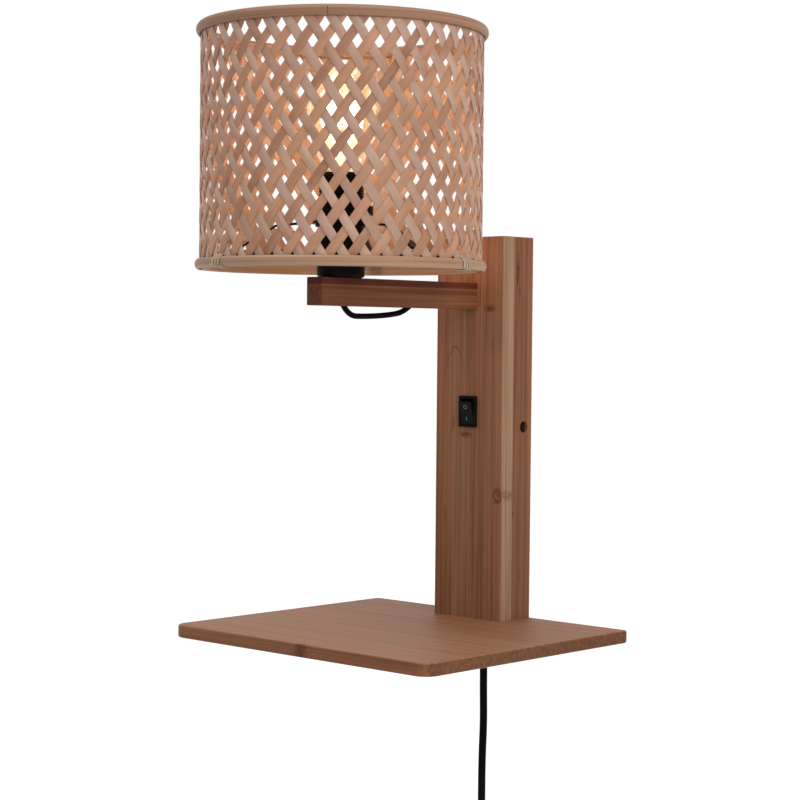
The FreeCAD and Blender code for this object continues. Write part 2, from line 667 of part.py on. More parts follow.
def cord_clamp():
    """A block that presses the mains cord against the inside of the front board."""
    x, z = MAINS_X, -CLAMP_BELOW_BRACKET
    back = -MAINS_FROM_WALL + MAINS_DIAMETER / 2 + 2.0
    block = box(x - CLAMP_WIDTH / 2, x + CLAMP_WIDTH / 2, -CHEEK_DEPTH, back,
                z - CLAMP_HEIGHT / 2, z + CLAMP_HEIGHT / 2)
    outer = lambda edge: along(edge, Vector(0, 0, 1)) and edge.CenterOfMass.y > back - 0.1
    block = rounded(block, 1.5, outer)
    block = block.cut(cord_hole(z - CLAMP_HEIGHT, z + CLAMP_HEIGHT, MAINS_DIAMETER / 2 + CORD_FIT))
    for side in (-1, 1):
        start = Vector(x + side * CLAMP_SCREW_SPACING / 2, back + 1, z)
        end = Vector(start.x, -CHEEK_DEPTH - 1, z)
        block = block.cut(rod(start, end, CLAMP_SCREW_RADIUS + SCREW_FIT))
    return block


def switch_wires():
    """Two wires from the terminal block up to the switch's blades, with an eased turn at each blade."""
    tip = POST_FRONT + SWITCH_BODY_DEPTH - SWITCH_BACK_WALL + BLADE_LENGTH
    wires = []
    for x, foot_x, blade_side in ((1.4, -0.2, -1), (-1.4, -2.6, 1)):
        z = SWITCH_Z + blade_side * BLADE_SPACING / 2
        start = TERMINAL_TOP
        bend = z - WIRE_BEND_BELOW_BLADE
        rise = (bend - start) / 4
        points = [
            (foot_x, -MAINS_FROM_WALL, start),
            (foot_x, -MAINS_FROM_WALL, start + rise),
            (foot_x + 0.2, -12.0, start + 2 * rise),
            (x - 0.1, -6.9, start + 3 * rise),
            (x, tip + 9.9, bend),
            (x, tip + 10.0, z - 4.2),
            (x, tip + 5.8, z),
            (x, tip, z),
        ]
        wires.append(cord("switch wire", points, WIRE_DIAMETER))
    return wires


def inner_mains_lead():
    return cord_hole(BOOT_TIP, TERMINAL_BOTTOM, MAINS_DIAMETER / 2)


def cord_boot():
    """The tapered strain relief under the shelf, with a neck through the shelf and foot block."""
    neck_top = SHELF_TOP + BLOCK_HEIGHT
    boot = cord_hole(SHELF_BOTTOM, neck_top, BOOT_TOP_RADIUS)
    flange_bottom = SHELF_BOTTOM - BOOT_FLANGE_HEIGHT
    boot = boot.fuse(cord_hole(flange_bottom, SHELF_BOTTOM, BOOT_FLANGE_RADIUS))
    boot = boot.fuse(cone(MAINS_AXIS + Vector(0, 0, flange_bottom), MAINS_AXIS + Vector(0, 0, BOOT_TIP),
                          BOOT_TOP_RADIUS, BOOT_TIP_RADIUS))
    return boot.cut(cord_hole(BOOT_TIP - 1, neck_top + 1, MAINS_DIAMETER / 2 + CORD_FIT))


# ---------------------------------------------------------------- lamp holder


def holder_nipple():
    low, high = ARM_TOP - NIPPLE_IN_ARM, ARM_TOP + CUP_WALL + NUT_HEIGHT + 2.0
    return turned([(NIPPLE_BORE_RADIUS, low), (NIPPLE_RADIUS, low), (NIPPLE_RADIUS, high),
                   (NIPPLE_BORE_RADIUS, high)])


def holder_nut():
    low = ARM_TOP + CUP_WALL
    corners = [on_holder(low) + Vector(NUT_RADIUS * math.cos(a), NUT_RADIUS * math.sin(a), 0)
               for a in [math.pi / 3 * i for i in range(7)]]
    nut = Part.Face(Part.makePolygon(corners)).extrude(Vector(0, 0, NUT_HEIGHT))
    return nut.cut(rod(on_holder(low - 1), on_holder(low + NUT_HEIGHT + 1), NIPPLE_RADIUS + SCREW_FIT))


def holder_cup():
    """The lower cup, held on the arm by the nut on the nipple."""
    inner = CUP_RADIUS - CUP_WALL
    hole = NIPPLE_RADIUS + SCREW_FIT
    floor = ARM_TOP + CUP_WALL
    cup = turned([(hole, ARM_TOP), (CUP_RADIUS, ARM_TOP), (CUP_RADIUS, CUP_TOP), (inner, CUP_TOP),
                  (inner, floor), (hole, floor)])
    low_rim = lambda edge: edge.Length > 6 * CUP_RADIUS and abs(edge.CenterOfMass.z - ARM_TOP) < 0.01
    return rounded(cup, CUP_ROUND, low_rim)


def holder_skirt():
    """The threaded skirt, with the collar that the shade carrier sits on."""
    inner = SKIRT_RADIUS - SKIRT_WALL
    spigot = CUP_RADIUS - CUP_WALL - 0.15
    collar_low = COLLAR_TOP - COLLAR_HEIGHT
    return turned([
        (inner, CUP_TOP - SPIGOT_HEIGHT), (spigot, CUP_TOP - SPIGOT_HEIGHT), (spigot, CUP_TOP),
        (SKIRT_RADIUS, CUP_TOP), (SKIRT_RADIUS, collar_low), (COLLAR_RADIUS, collar_low),
        (COLLAR_RADIUS, COLLAR_TOP), (SKIRT_RADIUS, COLLAR_TOP), (SKIRT_RADIUS, HOLDER_TOP),
        (inner, HOLDER_TOP)])


def holder_insert():
    """The insulating core that carries the screw shell and the centre contact."""
    bore = SHELL_OUTER_RADIUS + INSERT_FIT
    low = INSERT_TOP - INSERT_HEIGHT
    floor = SHELL_TOP - SHELL_HEIGHT
    return turned([(1.2, low), (INSERT_RADIUS, low), (INSERT_RADIUS, INSERT_TOP), (bore, INSERT_TOP),
                   (bore, floor), (1.2, floor)])


def holder_screw_shell():
    low = SHELL_TOP - SHELL_HEIGHT
    return turned([(SHELL_INNER_RADIUS, low), (SHELL_OUTER_RADIUS, low), (SHELL_OUTER_RADIUS, SHELL_TOP),
                   (SHELL_INNER_RADIUS, SHELL_TOP)])


def bulb_contact_bottom():
    return CAP_BOTTOM - 3.0


def holder_centre_contact():
    """A spring strip on the insert's floor, bent up to meet the bulb."""
    floor = SHELL_TOP - SHELL_HEIGHT
    top = bulb_contact_bottom() - BULB_CONTACT_GAP
    width, sheet = 4.0, 0.5
    side = [(-5.0, floor), (3.0, floor), (5.0, floor + 1.2), (1.5, top), (-2.0, top),
            (-2.0, top - sheet), (1.2, top - sheet), (4.2, floor + 1.3), (2.8, floor + sheet),
            (-5.0, floor + sheet)]
    corners = [Vector(x, HOLDER_Y - width / 2, z) for x, z in side]
    return Part.Face(Part.makePolygon(corners + corners[:1])).extrude(Vector(0, width, 0))


def shade_ring():
    """The ring on the skirt's thread that clamps the shade carrier."""
    bore = SKIRT_RADIUS + RING_CLEARANCE
    low = HUB_TOP + 0.05
    high = low + RING_HEIGHT
    flange = high - RING_FLANGE_HEIGHT
    ring = turned([(bore, low), (RING_SLEEVE_RADIUS, low), (RING_SLEEVE_RADIUS, flange),
                   (RING_RADIUS, flange), (RING_RADIUS, high), (bore, high)])
    for i in range(RING_NOTCHES):
        angle = 2 * math.pi * i / RING_NOTCHES
        out = Vector(math.cos(angle), math.sin(angle), 0) * (RING_RADIUS + 0.5)
        ring = ring.cut(rod(on_holder(flange - 1) + out, on_holder(high + 1) + out, 1.1))
    return ring


# ---------------------------------------------------------------- bulb


def glass_outline(shrink):
    """The glass bulb's outline from neck to crown, drawn in by shrink for its inside."""
    neck = GLASS_NECK_RADIUS - shrink
    wide = GLASS_RADIUS - shrink
    crown = CAP_TOP + GLASS_HEIGHT - shrink
    belly = CAP_TOP + 0.6 * GLASS_HEIGHT
    foot = Vector(neck, HOLDER_Y, CAP_TOP)
    swell = Part.BSplineCurve()
    swell.interpolate(
        [foot,
         Vector(neck + 0.62 * (wide - neck), HOLDER_Y, CAP_TOP + 0.175 * GLASS_HEIGHT),
         Vector(neck + 0.9 * (wide - neck), HOLDER_Y, CAP_TOP + 0.375 * GLASS_HEIGHT),
         Vector(wide, HOLDER_Y, belly)],
        InitialTangent=Vector(1, 0, 0.9), FinalTangent=Vector(0, 0, 1))
    rise = crown - belly
    dome = Part.Ellipse(Vector(0, HOLDER_Y, crown), Vector(wide, HOLDER_Y, belly), Vector(0, HOLDER_Y, belly))
    quarter = Part.ArcOfEllipse(dome, *sorted((dome.parameter(Vector(wide, HOLDER_Y, belly)),
                                               dome.parameter(Vector(0, HOLDER_Y, crown)))))
    if quarter.length() > 1.7 * (wide + rise):
        raise ValueError("the crown's arc runs the long way round")
    return foot, [swell.toShape(), quarter.toShape()], Vector(0, HOLDER_Y, crown)


def glass_solid(shrink):
    foot, edges, crown = glass_outline(shrink)
    low = CAP_TOP - GLASS_IN_CAP
    sides = [Part.LineSegment(crown, on_holder(low)).toShape(),
             Part.LineSegment(on_holder(low), Vector(foot.x, HOLDER_Y, low)).toShape(),
             Part.LineSegment(Vector(foot.x, HOLDER_Y, low), foot).toShape()]
    return turned_wire(Part.Wire(Part.__sortEdges__(edges + sides)))


def bulb_glass():
    return glass_solid(0.0).cut(glass_solid(GLASS_WALL))


def bulb_cap():
    inner = CAP_RADIUS - CAP_WALL
    return turned([(inner, CAP_BOTTOM), (CAP_RADIUS, CAP_BOTTOM), (CAP_RADIUS, CAP_TOP), (inner, CAP_TOP)])


def bulb_insulator():
    return turned([(0, CAP_BOTTOM - 2.0), (BULB_CONTACT_RADIUS + 0.6, CAP_BOTTOM - 2.0),
                   (CAP_RADIUS - CAP_WALL, CAP_BOTTOM), (CAP_RADIUS - CAP_WALL, CAP_BOTTOM + 2.0),
                   (0, CAP_BOTTOM + 2.0)])


def bulb_contact():
    low = bulb_contact_bottom()
    return turned([(0, low), (BULB_CONTACT_RADIUS, low), (BULB_CONTACT_RADIUS, CAP_BOTTOM - 2.0),
                   (0, CAP_BOTTOM - 2.0)])


def filament_foot():
    return CAP_TOP + 9.0


def bulb_stem():
    """The glass stem: a flare closing the neck, a rod and a cross of support wires at each end."""
    flare = GLASS_NECK_RADIUS - GLASS_WALL - 0.1
    low = CAP_TOP - GLASS_IN_CAP
    foot, head = filament_foot(), filament_foot() + FILAMENT_LENGTH
    stem = turned([(0, low), (flare, low), (flare, low + 2), (STEM_RADIUS, low + 7), (STEM_RADIUS, head),
                   (0, head)])
    for i in range(FILAMENT_COUNT):
        spin = 2 * math.pi * i / FILAMENT_COUNT
        out = Vector(math.cos(spin), math.sin(spin), 0)
        for z, reach in ((foot, FILAMENT_FOOT_RADIUS), (head, FILAMENT_HEAD_RADIUS)):
            inner = on_holder(z - 0.6)
            stem = stem.fuse(rod(inner, inner + out * (reach + 0.4), 0.35))
    return stem


def bulb_filaments():
    foot = filament_foot()
    sticks = []
    for i in range(FILAMENT_COUNT):
        spin = 2 * math.pi * i / FILAMENT_COUNT
        out = Vector(math.cos(spin), math.sin(spin), 0)
        low = on_holder(foot) + out * FILAMENT_FOOT_RADIUS
        high = on_holder(foot + FILAMENT_LENGTH - 1.8) + out * FILAMENT_HEAD_RADIUS
        sticks.append(rod(low, high, FILAMENT_RADIUS))
    return sticks


# ---------------------------------------------------------------- shade


def opening_angle(index):
    """Where an opening of the weave's lowest row is, in degrees round the shade."""
    return FIRST_OPENING_ANGLE + index * 360.0 / STRIP_COUNT


def binding_angles():
    """Every binding goes through an opening of the weave's lowest row."""
    return [opening_angle(index) for index in BINDING_OPENINGS]


def lattice_cutter(angle, z):
    """A diamond through the shade's wall."""
    wide, tall = LATTICE_OPENING_WIDTH / 2, LATTICE_OPENING_HEIGHT / 2
    corners = [Vector(WEAVE_IN - 1, HOLDER_Y + across, z + up)
               for across, up in ((wide, 0), (0, tall), (-wide, 0), (0, -tall))]
    cutter = Part.Face(Part.makePolygon(corners + corners[:1])).extrude(Vector(WEAVE_THICKNESS + 2, 0, 0))
    cutter.rotate(on_holder(0), Vector(0, 0, 1), angle)
    return cutter


def lattice_panel():
    """One upright panel of the wall. Every second row of diamonds lies half on each border."""
    low, high = SHADE_BOTTOM + WEAVE_INSET, SHADE_TOP - WEAVE_INSET
    pitch = 360.0 / LATTICE_COLUMNS
    sweep = pitch - math.degrees(LATTICE_PANEL_GAP / WEAVE_RADIUS)
    corners = [Vector(r, HOLDER_Y, z) for r, z in ((WEAVE_IN, low), (WEAVE_RADIUS, low),
                                                   (WEAVE_RADIUS, high), (WEAVE_IN, high))]
    panel = turned_wire(Part.makePolygon(corners + corners[:1]), sweep, -sweep / 2)
    first, last = low + LATTICE_FIRST_ROW, high - LATTICE_FIRST_ROW
    for row in range(LATTICE_ROWS):
        z = first + (last - first) * row / (LATTICE_ROWS - 1)
        for angle in ((0.0,) if row % 2 == 0 else (-pitch / 2, pitch / 2)):
            panel = panel.cut(lattice_cutter(angle, z))
    return panel


def binding_slot(angle):
    """Where a binding goes through the wall."""
    half = BINDING_WIDTH / 2 + BINDING_SLOT_CLEARANCE
    slot = box(WEAVE_IN - 1, WEAVE_RADIUS + 1, HOLDER_Y - half, HOLDER_Y + half,
               SHADE_BOTTOM + HOOP_HEIGHT - BINDING_SLOT_CLEARANCE, binding_top() + BINDING_SLOT_CLEARANCE)
    slot.rotate(on_holder(0), Vector(0, 0, 1), angle)
    return slot


def shade_weave():
    """The plaited wall as upright panels side by side, with a coarse grid of diamond openings."""
    panel = lattice_panel()
    panels = []
    for column in range(LATTICE_COLUMNS):
        angle = opening_angle(BINDING_OPENINGS[0]) + column * 360.0 / LATTICE_COLUMNS
        placed = panel.copy()
        placed.rotate(on_holder(0), Vector(0, 0, 1), angle)
        for binding in binding_angles():
            placed = placed.cut(binding_slot(binding))
        panels.append(placed)
    return panels


def hoop(inner, outer, z0, joint_angle, half_round):
    """A bent hoop whose ends meet in a butt joint."""
    z1, middle = z0 + HOOP_HEIGHT, z0 + HOOP_HEIGHT / 2
    point = lambda r, z: Vector(r, HOLDER_Y, z)
    if half_round:
        shoulder = inner + 0.35 * (outer - inner)
        edges = [Part.LineSegment(point(shoulder, z0), point(inner, z0)).toShape(),
                 Part.LineSegment(point(inner, z0), point(inner, z1)).toShape(),
                 Part.LineSegment(point(inner, z1), point(shoulder, z1)).toShape(),
                 Part.Arc(point(shoulder, z1), point(outer, middle), point(shoulder, z0)).toShape()]
        wire = Part.Wire(edges)
    else:
        corners = [point(inner, z0), point(outer, z0), point(outer, z1), point(inner, z1)]
        wire = Part.makePolygon(corners + corners[:1])
    gap = math.degrees(HOOP_JOINT_GAP / outer)
    return turned_wire(wire, 360.0 - gap, joint_angle + gap / 2)


def outer_hoop(z0, joint_angle):
    return hoop(OUTER_HOOP_IN, OUTER_HOOP_IN + OUTER_HOOP_THICKNESS, z0, joint_angle, True)


def inner_hoop(z0, joint_angle):
    return hoop(INNER_HOOP_OUT - INNER_HOOP_THICKNESS, INNER_HOOP_OUT, z0, joint_angle + 180, False)


def carrier_radius():
    return INNER_HOOP_OUT - CARRIER_WIRE_RADIUS - 0.3


def carrier_height():
    return SHADE_BOTTOM + HOOP_HEIGHT + CARRIER_WIRE_RADIUS + CARRIER_GAP


def shade_carrier():
    """A hub ring on the holder's collar, bent legs and the wire ring that the shade is tied to."""
    bore = SKIRT_RADIUS + HUB_CLEARANCE
    carrier = turned([(bore, COLLAR_TOP), (bore + HUB_WIDTH, COLLAR_TOP), (bore + HUB_WIDTH, HUB_TOP),
                      (bore, HUB_TOP)])
    start, end = bore + HUB_WIDTH - 1.5, carrier_radius()
    foot = carrier_height() + HUB_SHEET / 2
    upper, lower = HUB_TOP - LEG_UPPER_BEND_DROP, foot + LEG_LOWER_BEND_RISE
    top = [(start, HUB_TOP), (LEG_UPPER_BEND_RADIUS, upper), (LEG_LOWER_BEND_RADIUS, lower), (end, foot)]
    side = top + [(r, z - HUB_SHEET) for r, z in reversed(top)]
    for i in range(LEG_COUNT):
        corners = [Vector(r, HOLDER_Y - LEG_WIDTH / 2, z) for r, z in side]
        leg = Part.Face(Part.makePolygon(corners + corners[:1])).extrude(Vector(0, LEG_WIDTH, 0))
        leg.rotate(on_holder(0), Vector(0, 0, 1), LEG_FIRST_ANGLE + i * 360.0 / LEG_COUNT)
        carrier = carrier.fuse(leg)
    wire = Part.makeTorus(carrier_radius(), CARRIER_WIRE_RADIUS, on_holder(carrier_height()), Vector(0, 0, 1))
    return carrier.fuse(wire)


def binding_top():
    return carrier_height() + CARRIER_WIRE_RADIUS + 0.1 + BINDING_THICKNESS


def hoop_binding(angle):
    """One turn of split cane round both bottom hoops and the carrier's wire, through a gap in the weave."""
    low, hoop_top = SHADE_BOTTOM - 0.1, SHADE_BOTTOM + HOOP_HEIGHT + 0.1
    outer = OUTER_HOOP_IN + OUTER_HOOP_THICKNESS + 0.1
    inner = min(carrier_radius() - CARRIER_WIRE_RADIUS, INNER_HOOP_OUT - INNER_HOOP_THICKNESS) - 0.1
    wire_top = binding_top() - BINDING_THICKNESS
    wire_out = WEAVE_IN - 0.1
    inside = [(outer, low), (outer, hoop_top), (wire_out, hoop_top + 0.1), (wire_out, wire_top),
              (inner, wire_top), (inner, low)]
    grow = BINDING_THICKNESS
    outside = [(outer + grow, low - grow), (outer + grow, hoop_top + grow),
               (wire_out + grow, hoop_top + grow + 0.1), (wire_out + grow, wire_top + grow),
               (inner - grow, wire_top + grow), (inner - grow, low - grow)]
    slab = lambda outline: Part.Face(Part.makePolygon(
        [Vector(r, HOLDER_Y - BINDING_WIDTH / 2, z) for r, z in outline + outline[:1]])).extrude(
        Vector(0, BINDING_WIDTH, 0))
    loop = slab(outside).cut(slab(inside))
    loop.rotate(on_holder(0), Vector(0, 0, 1), angle)
    return loop


def hoop_bindings():
    return [hoop_binding(angle) for angle in binding_angles()]


# ---------------------------------------------------------------- coil, tie and plug


def coil_state(turn):
    """Place on the coil after so many turns: angle, radius and layer. It spirals in and out at a
    steady rate and climbs a layer in the half turn round each reversal."""
    last = COIL_LAYERS - 1
    layer = min(int(turn // COIL_TURNS_PER_LAYER), last)
    into = turn - layer * COIL_TURNS_PER_LAYER
    span = COIL_TURNS_PER_LAYER * COIL_PITCH
    inward = layer % 2 == 0
    radius = COIL_MIDDLE_RADIUS + (span / 2 - into * COIL_PITCH if inward else into * COIL_PITCH - span / 2)
    nearest = round(turn / COIL_TURNS_PER_LAYER)
    height = float(layer)
    if 1 <= nearest <= last:
        share = min(max((turn - nearest * COIL_TURNS_PER_LAYER) / 0.5 + 0.5, 0.0), 1.0)
        height = nearest - 1 + share * share * (3 - 2 * share)
    return math.radians(COIL_START_ANGLE) + 2 * math.pi * turn, radius, height


def coil_point(turn):
    angle, radius, height = coil_state(turn)
    back_layer = -MAINS_FROM_WALL + COIL_PITCH * (COIL_LAYERS - 1) / 2
    y = back_layer - COIL_PITCH * height
    return Vector(radius * math.cos(angle), y, COIL_Z + radius * math.sin(angle))


def coil_heading(turn, total):
    """Direction of travel over a short stretch to both sides. The ends run level with their layer."""
    small = 0.01
    if turn <= small or turn >= total - small:
        angle = coil_state(turn)[0]
        return Vector(-math.sin(angle), 0, math.cos(angle))
    return (coil_point(turn + small) - coil_point(turn - small)).normalize()


def two_arcs(start, heading, end, end_heading):
    """Two arcs that leave start along heading, arrive at end along end_heading and meet smoothly."""
    chord = end - start
    both = heading + end_heading
    a = 2 * (1 - heading.dot(end_heading))
    b = 2 * chord.dot(both)
    reach = (math.sqrt(b * b + 4 * a * chord.dot(chord)) - b) / (2 * a)
    first, second = start + heading * reach, end - end_heading * reach
    meeting = (first + second) / 2
    edges = []
    for near, corner, far in ((start, first, meeting), (meeting, second, end)):
        middle = (near + far) / 2
        half_chord = (far - near).Length / 2
        height = (corner - middle).Length
        sagitta = half_chord * (math.sqrt(half_chord**2 + height**2) - half_chord) / height
        edges.append(Part.Arc(near, middle + (corner - middle).normalize() * sagitta, far).toShape())
    return edges


def coil_edges():
    total = COIL_LAYERS * COIL_TURNS_PER_LAYER + COIL_EXTRA_TURN
    turns = [i / 4 for i in range(COIL_LAYERS * COIL_TURNS_PER_LAYER * 4 + 1)] + [total]
    edges = []
    for near, far in zip(turns, turns[1:]):
        headings = [coil_heading(turn, total) for turn in (near, far)]
        edges += two_arcs(coil_point(near), headings[0], coil_point(far), headings[1])
    start, end = coil_point(0), coil_point(total)
    lead_in = start - coil_heading(0, total) * MAINS_DIAMETER
    tail = end + coil_heading(total, total) * COIL_TAIL
    return [Part.LineSegment(lead_in, start).toShape()] + edges + [Part.LineSegment(end, tail).toShape()]


def least_gap(edges, diameter):
    """The least gap between stretches of a tube that are over a quarter turn apart, on points."""
    points, run, at = [], [], 0.0
    for edge in edges:
        steps = max(2, int(edge.Length / 2.0))
        for point in edge.discretize(Number=steps + 1)[:-1]:
            points.append(point)
            run.append(at)
            at += edge.Length / steps
    apart = COIL_MIDDLE_RADIUS * math.pi / 2
    gap = min((points[i] - points[j]).Length for i in range(len(points)) for j in range(i)
              if run[i] - run[j] > apart)
    return gap - diameter


def cord_coil():
    edges = coil_edges()
    solid = pipe(edges, MAINS_DIAMETER / 2)
    length = sum(edge.Length for edge in edges)
    section = math.pi * MAINS_DIAMETER**2 / 4
    print("coil: length %.1f, volume over section times length %.4f, least gap to itself %.2f"
          % (length, solid.Volume / (section * length), least_gap(edges, MAINS_DIAMETER)))
    return solid, edges


def cord_tie():
    """A band round all the coil's turns."""
    reach = (COIL_TURNS_PER_LAYER + COIL_EXTRA_TURN) * COIL_PITCH / 2 + MAINS_DIAMETER / 2 + TIE_CLEARANCE
    depth = (COIL_LAYERS - 1) * COIL_PITCH / 2 + MAINS_DIAMETER / 2 + TIE_CLEARANCE
    middle = COIL_MIDDLE_RADIUS + COIL_EXTRA_TURN * COIL_PITCH / 2
    half = TIE_WIDTH / 2
    band = box(middle - reach - TIE_THICKNESS, middle + reach + TIE_THICKNESS,
               -depth - TIE_THICKNESS, depth + TIE_THICKNESS, -half, half)
    band = rounded(band, 2.5, lambda edge: along(edge, Vector(0, 0, 1)))
    room = box(middle - reach, middle + reach, -depth, depth, -half - 1, half + 1)
    room = rounded(room, 1.3, lambda edge: along(edge, Vector(0, 0, 1)))
    band = band.cut(room)
    band.rotate(Vector(0, 0, 0), Vector(0, -1, 0), TIE_ANGLE)
    band.translate(Vector(0, -MAINS_FROM_WALL, COIL_Z))
    return band


def plug_top(edges):
    """Where the coil's tail meets the plug."""
    return edges[-1].Vertexes[-1].Point


def plug_body(top):
    """A flat two-pin plug: a tapered neck, a waisted grip and a broad nose."""
    down = Vector(0, 0, -1)
    neck_end = top + down * PLUG_NECK_LENGTH
    neck = cone(top, neck_end + down, MAINS_DIAMETER / 2 + 0.5, PLUG_NECK_RADIUS)
    half_wide = PLUG_WIDTH / 2
    grip_end = PLUG_LENGTH - PLUG_NOSE_LENGTH
    shape = [(-PLUG_NECK_RADIUS, 0), (-half_wide * 0.62, -3), (-half_wide * 0.72, -grip_end * 0.7),
             (-half_wide, -grip_end), (-half_wide, -PLUG_LENGTH)]
    shape += [(-x, z) for x, z in reversed(shape)]
    corners = [neck_end + Vector(x, -PLUG_DEPTH / 2, z) for x, z in shape]
    body = Part.Face(Part.makePolygon(corners + corners[:1])).extrude(Vector(0, PLUG_DEPTH, 0))
    body = rounded(body, 2.2, lambda edge: not along(edge, Vector(0, 1, 0))
                   and edge.CenterOfMass.z > neck_end.z - PLUG_LENGTH + 0.1)
    for side in (-1, 1):
        root = plug_pin_root(top, side)
        body = body.cut(rod(root - down * 6, root + down, PIN_RADIUS + SCREW_FIT))
    return body.fuse(neck)


def plug_pin_root(top, side):
    return top + Vector(side * PIN_SPACING / 2, 0, -(PLUG_NECK_LENGTH + PLUG_LENGTH))


def plug_pin(top, side):
    root = plug_pin_root(top, side)
    tip = root - Vector(0, 0, PIN_LENGTH)
    pin = rod(root + Vector(0, 0, 6), tip, PIN_RADIUS)
    return rounded(pin, 1.0, lambda edge: abs(edge.CenterOfMass.z - tip.z) < 0.01)


# ---------------------------------------------------------------- assembly


def main():
    os.makedirs("parts", exist_ok=True)
    save("shelf_board", shelf_board())
    save("post_front_board", post_front_board())
    save("post_left_cheek", post_cheek(-1))
    save("post_right_cheek", post_cheek(1))
    save("post_foot_block", post_foot_block())
    save("post_top_block", post_block(POST_TOP - BLOCK_HEIGHT, POST_TOP))
    save("shelf_screws", *[shelf_screw(x, y) for x, y in shelf_screw_places()])
    save("wall_bracket", wall_bracket())
    save("side_screws", side_screw(-1), side_screw(1))
    save("arm_bar", arm_bar())
    save("arm_cover_strip", arm_cover_strip())
    save("arm_screws", *arm_screws())
    save("switch_housing", switch_housing())
    save("switch_rocker", switch_rocker())
    save("switch_blades", *switch_blades())
    save("switch_wires", *switch_wires())
    save("terminal_block", terminal_block())
    save("terminal_screws", *terminal_screws())
    save("cord_clamp", cord_clamp())
    save("cord_clamp_screws", *clamp_screws())
    save("inner_mains_lead", inner_mains_lead())
    save("cord_boot", cord_boot())
    save("holder_nipple", holder_nipple())
    save("holder_nut", holder_nut())
    save("holder_cup", holder_cup())
    save("holder_skirt", holder_skirt())
    save("holder_insert", holder_insert())
    save("holder_screw_shell", holder_screw_shell())
    save("holder_centre_contact", holder_centre_contact())
    save("shade_ring", shade_ring())
    save("bulb_glass", bulb_glass())
    save("bulb_cap", bulb_cap())
    save("bulb_insulator", bulb_insulator())
    save("bulb_contact", bulb_contact())
    save("bulb_stem", bulb_stem())
    save("bulb_filaments", *bulb_filaments())
    save("shade_weave", *shade_weave())
    save("top_outer_hoop", outer_hoop(SHADE_TOP - HOOP_HEIGHT, TOP_JOINT_ANGLE))
    save("top_inner_hoop", inner_hoop(SHADE_TOP - HOOP_HEIGHT, TOP_JOINT_ANGLE))
    save("bottom_outer_hoop", outer_hoop(SHADE_BOTTOM, BOTTOM_JOINT_ANGLE))
    save("bottom_inner_hoop", inner_hoop(SHADE_BOTTOM, BOTTOM_JOINT_ANGLE))
    save("shade_carrier", shade_carrier())
    save("hoop_bindings", *hoop_bindings())
    save("arm_lead", cord("arm lead", LEAD_POINTS, LEAD_DIAMETER))
    coil, edges = cord_coil()
    save("mains_cord", cord("mains cord", MAINS_POINTS + [edges[0].Vertexes[0].Point[:]], MAINS_DIAMETER))
    save("cord_coil", coil)
    save("cord_tie", cord_tie())
    save("plug_body", plug_body(plug_top(edges)))
    save("plug_pins", *[plug_pin(plug_top(edges), side) for side in (-1, 1)])


main()
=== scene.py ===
"""A wall lamp with a shelf, dressed for its picture: laminated bamboo post, arm and shelf, a plaited
bamboo shade, a lit bulb, a rocker switch and a mains cord. Metres, +Z up, the wall is at y = 0."""

import math

import bmesh
import bpy
import numpy as np
from mathutils import Matrix, Vector


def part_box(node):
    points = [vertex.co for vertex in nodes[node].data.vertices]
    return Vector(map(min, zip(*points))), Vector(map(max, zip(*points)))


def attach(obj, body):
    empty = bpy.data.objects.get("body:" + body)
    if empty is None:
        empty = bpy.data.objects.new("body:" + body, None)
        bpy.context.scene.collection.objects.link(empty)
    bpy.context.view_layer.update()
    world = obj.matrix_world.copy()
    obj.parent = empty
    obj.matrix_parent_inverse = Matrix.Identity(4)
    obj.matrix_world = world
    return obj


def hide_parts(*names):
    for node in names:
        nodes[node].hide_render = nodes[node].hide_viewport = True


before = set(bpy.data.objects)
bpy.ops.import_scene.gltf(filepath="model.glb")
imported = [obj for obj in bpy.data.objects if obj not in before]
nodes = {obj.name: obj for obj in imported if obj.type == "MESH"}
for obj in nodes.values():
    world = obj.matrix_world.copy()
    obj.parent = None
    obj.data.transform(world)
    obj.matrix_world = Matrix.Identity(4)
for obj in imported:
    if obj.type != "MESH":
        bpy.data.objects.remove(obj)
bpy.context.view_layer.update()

# Shade
HOLDER_Y = -0.1625
WEAVE_MIDDLE = 0.0922
STRIP_COUNT = 42
STRIP_WIDTH = 0.0060
STRIP_HALF_THICK = 0.00025
STRIP_LIFT = 0.00032
STRIP_SLOPES = {1: 54.6, -1: 57.6}
FIRST_OPENING = math.radians(0.2)
FIRST_ROW_ABOVE_HOOP = 0.0074
BOUND_OPENINGS = (1, 15, 30)

# Cane wound round the bottom hoops
CANE_HALF_WIDTH = 0.0009
CANE_TURNS = 3
FIRST_WRAP = math.radians(3.0)

# Holder skirt
SKIRT_RADIUS = 0.0150
SKIRT_BORE = 0.0132
THREAD_PITCH = 0.002
THREAD_DEPTH = 0.0007

# Rocker: its pin's (y, z), and its turn at rest
ROCKER_PIN = (-0.0315, 0.0105)
ROCKER_REST = math.radians(12.0)

# Camera, fitted to the photograph's edges
CAMERA_PLACE = (0.9218, -1.0960, 0.06115)
CAMERA_TURNS = (42.57, -1.75, 0.55)
FOCAL_PIXELS = 1991.75
PICTURE_PIXELS = 800
SENSOR = 36.0

# Light
SKY_LEVEL = 0.56
FLOOR_LEVEL = 0.56
FLOOR_HEIGHT = -0.75

WHITE = (1.0, 1.0, 1.0, 1.0)

# ---------------------------------------------------------------- mesh pieces


def grid_faces(rows, columns, wrap_rows, wrap_columns):
    """Quads of a grid of points, kept row by row. A wrapped direction joins its last line to its first."""
    i = np.arange(rows if wrap_rows else rows - 1)[:, None]
    j = np.arange(columns if wrap_columns else columns - 1)[None, :]
    near, far, beside = i * columns, (i + 1) % rows * columns, (j + 1) % columns
    return np.stack([near + j, far + j, far + beside, near + beside], -1).reshape(-1, 4)


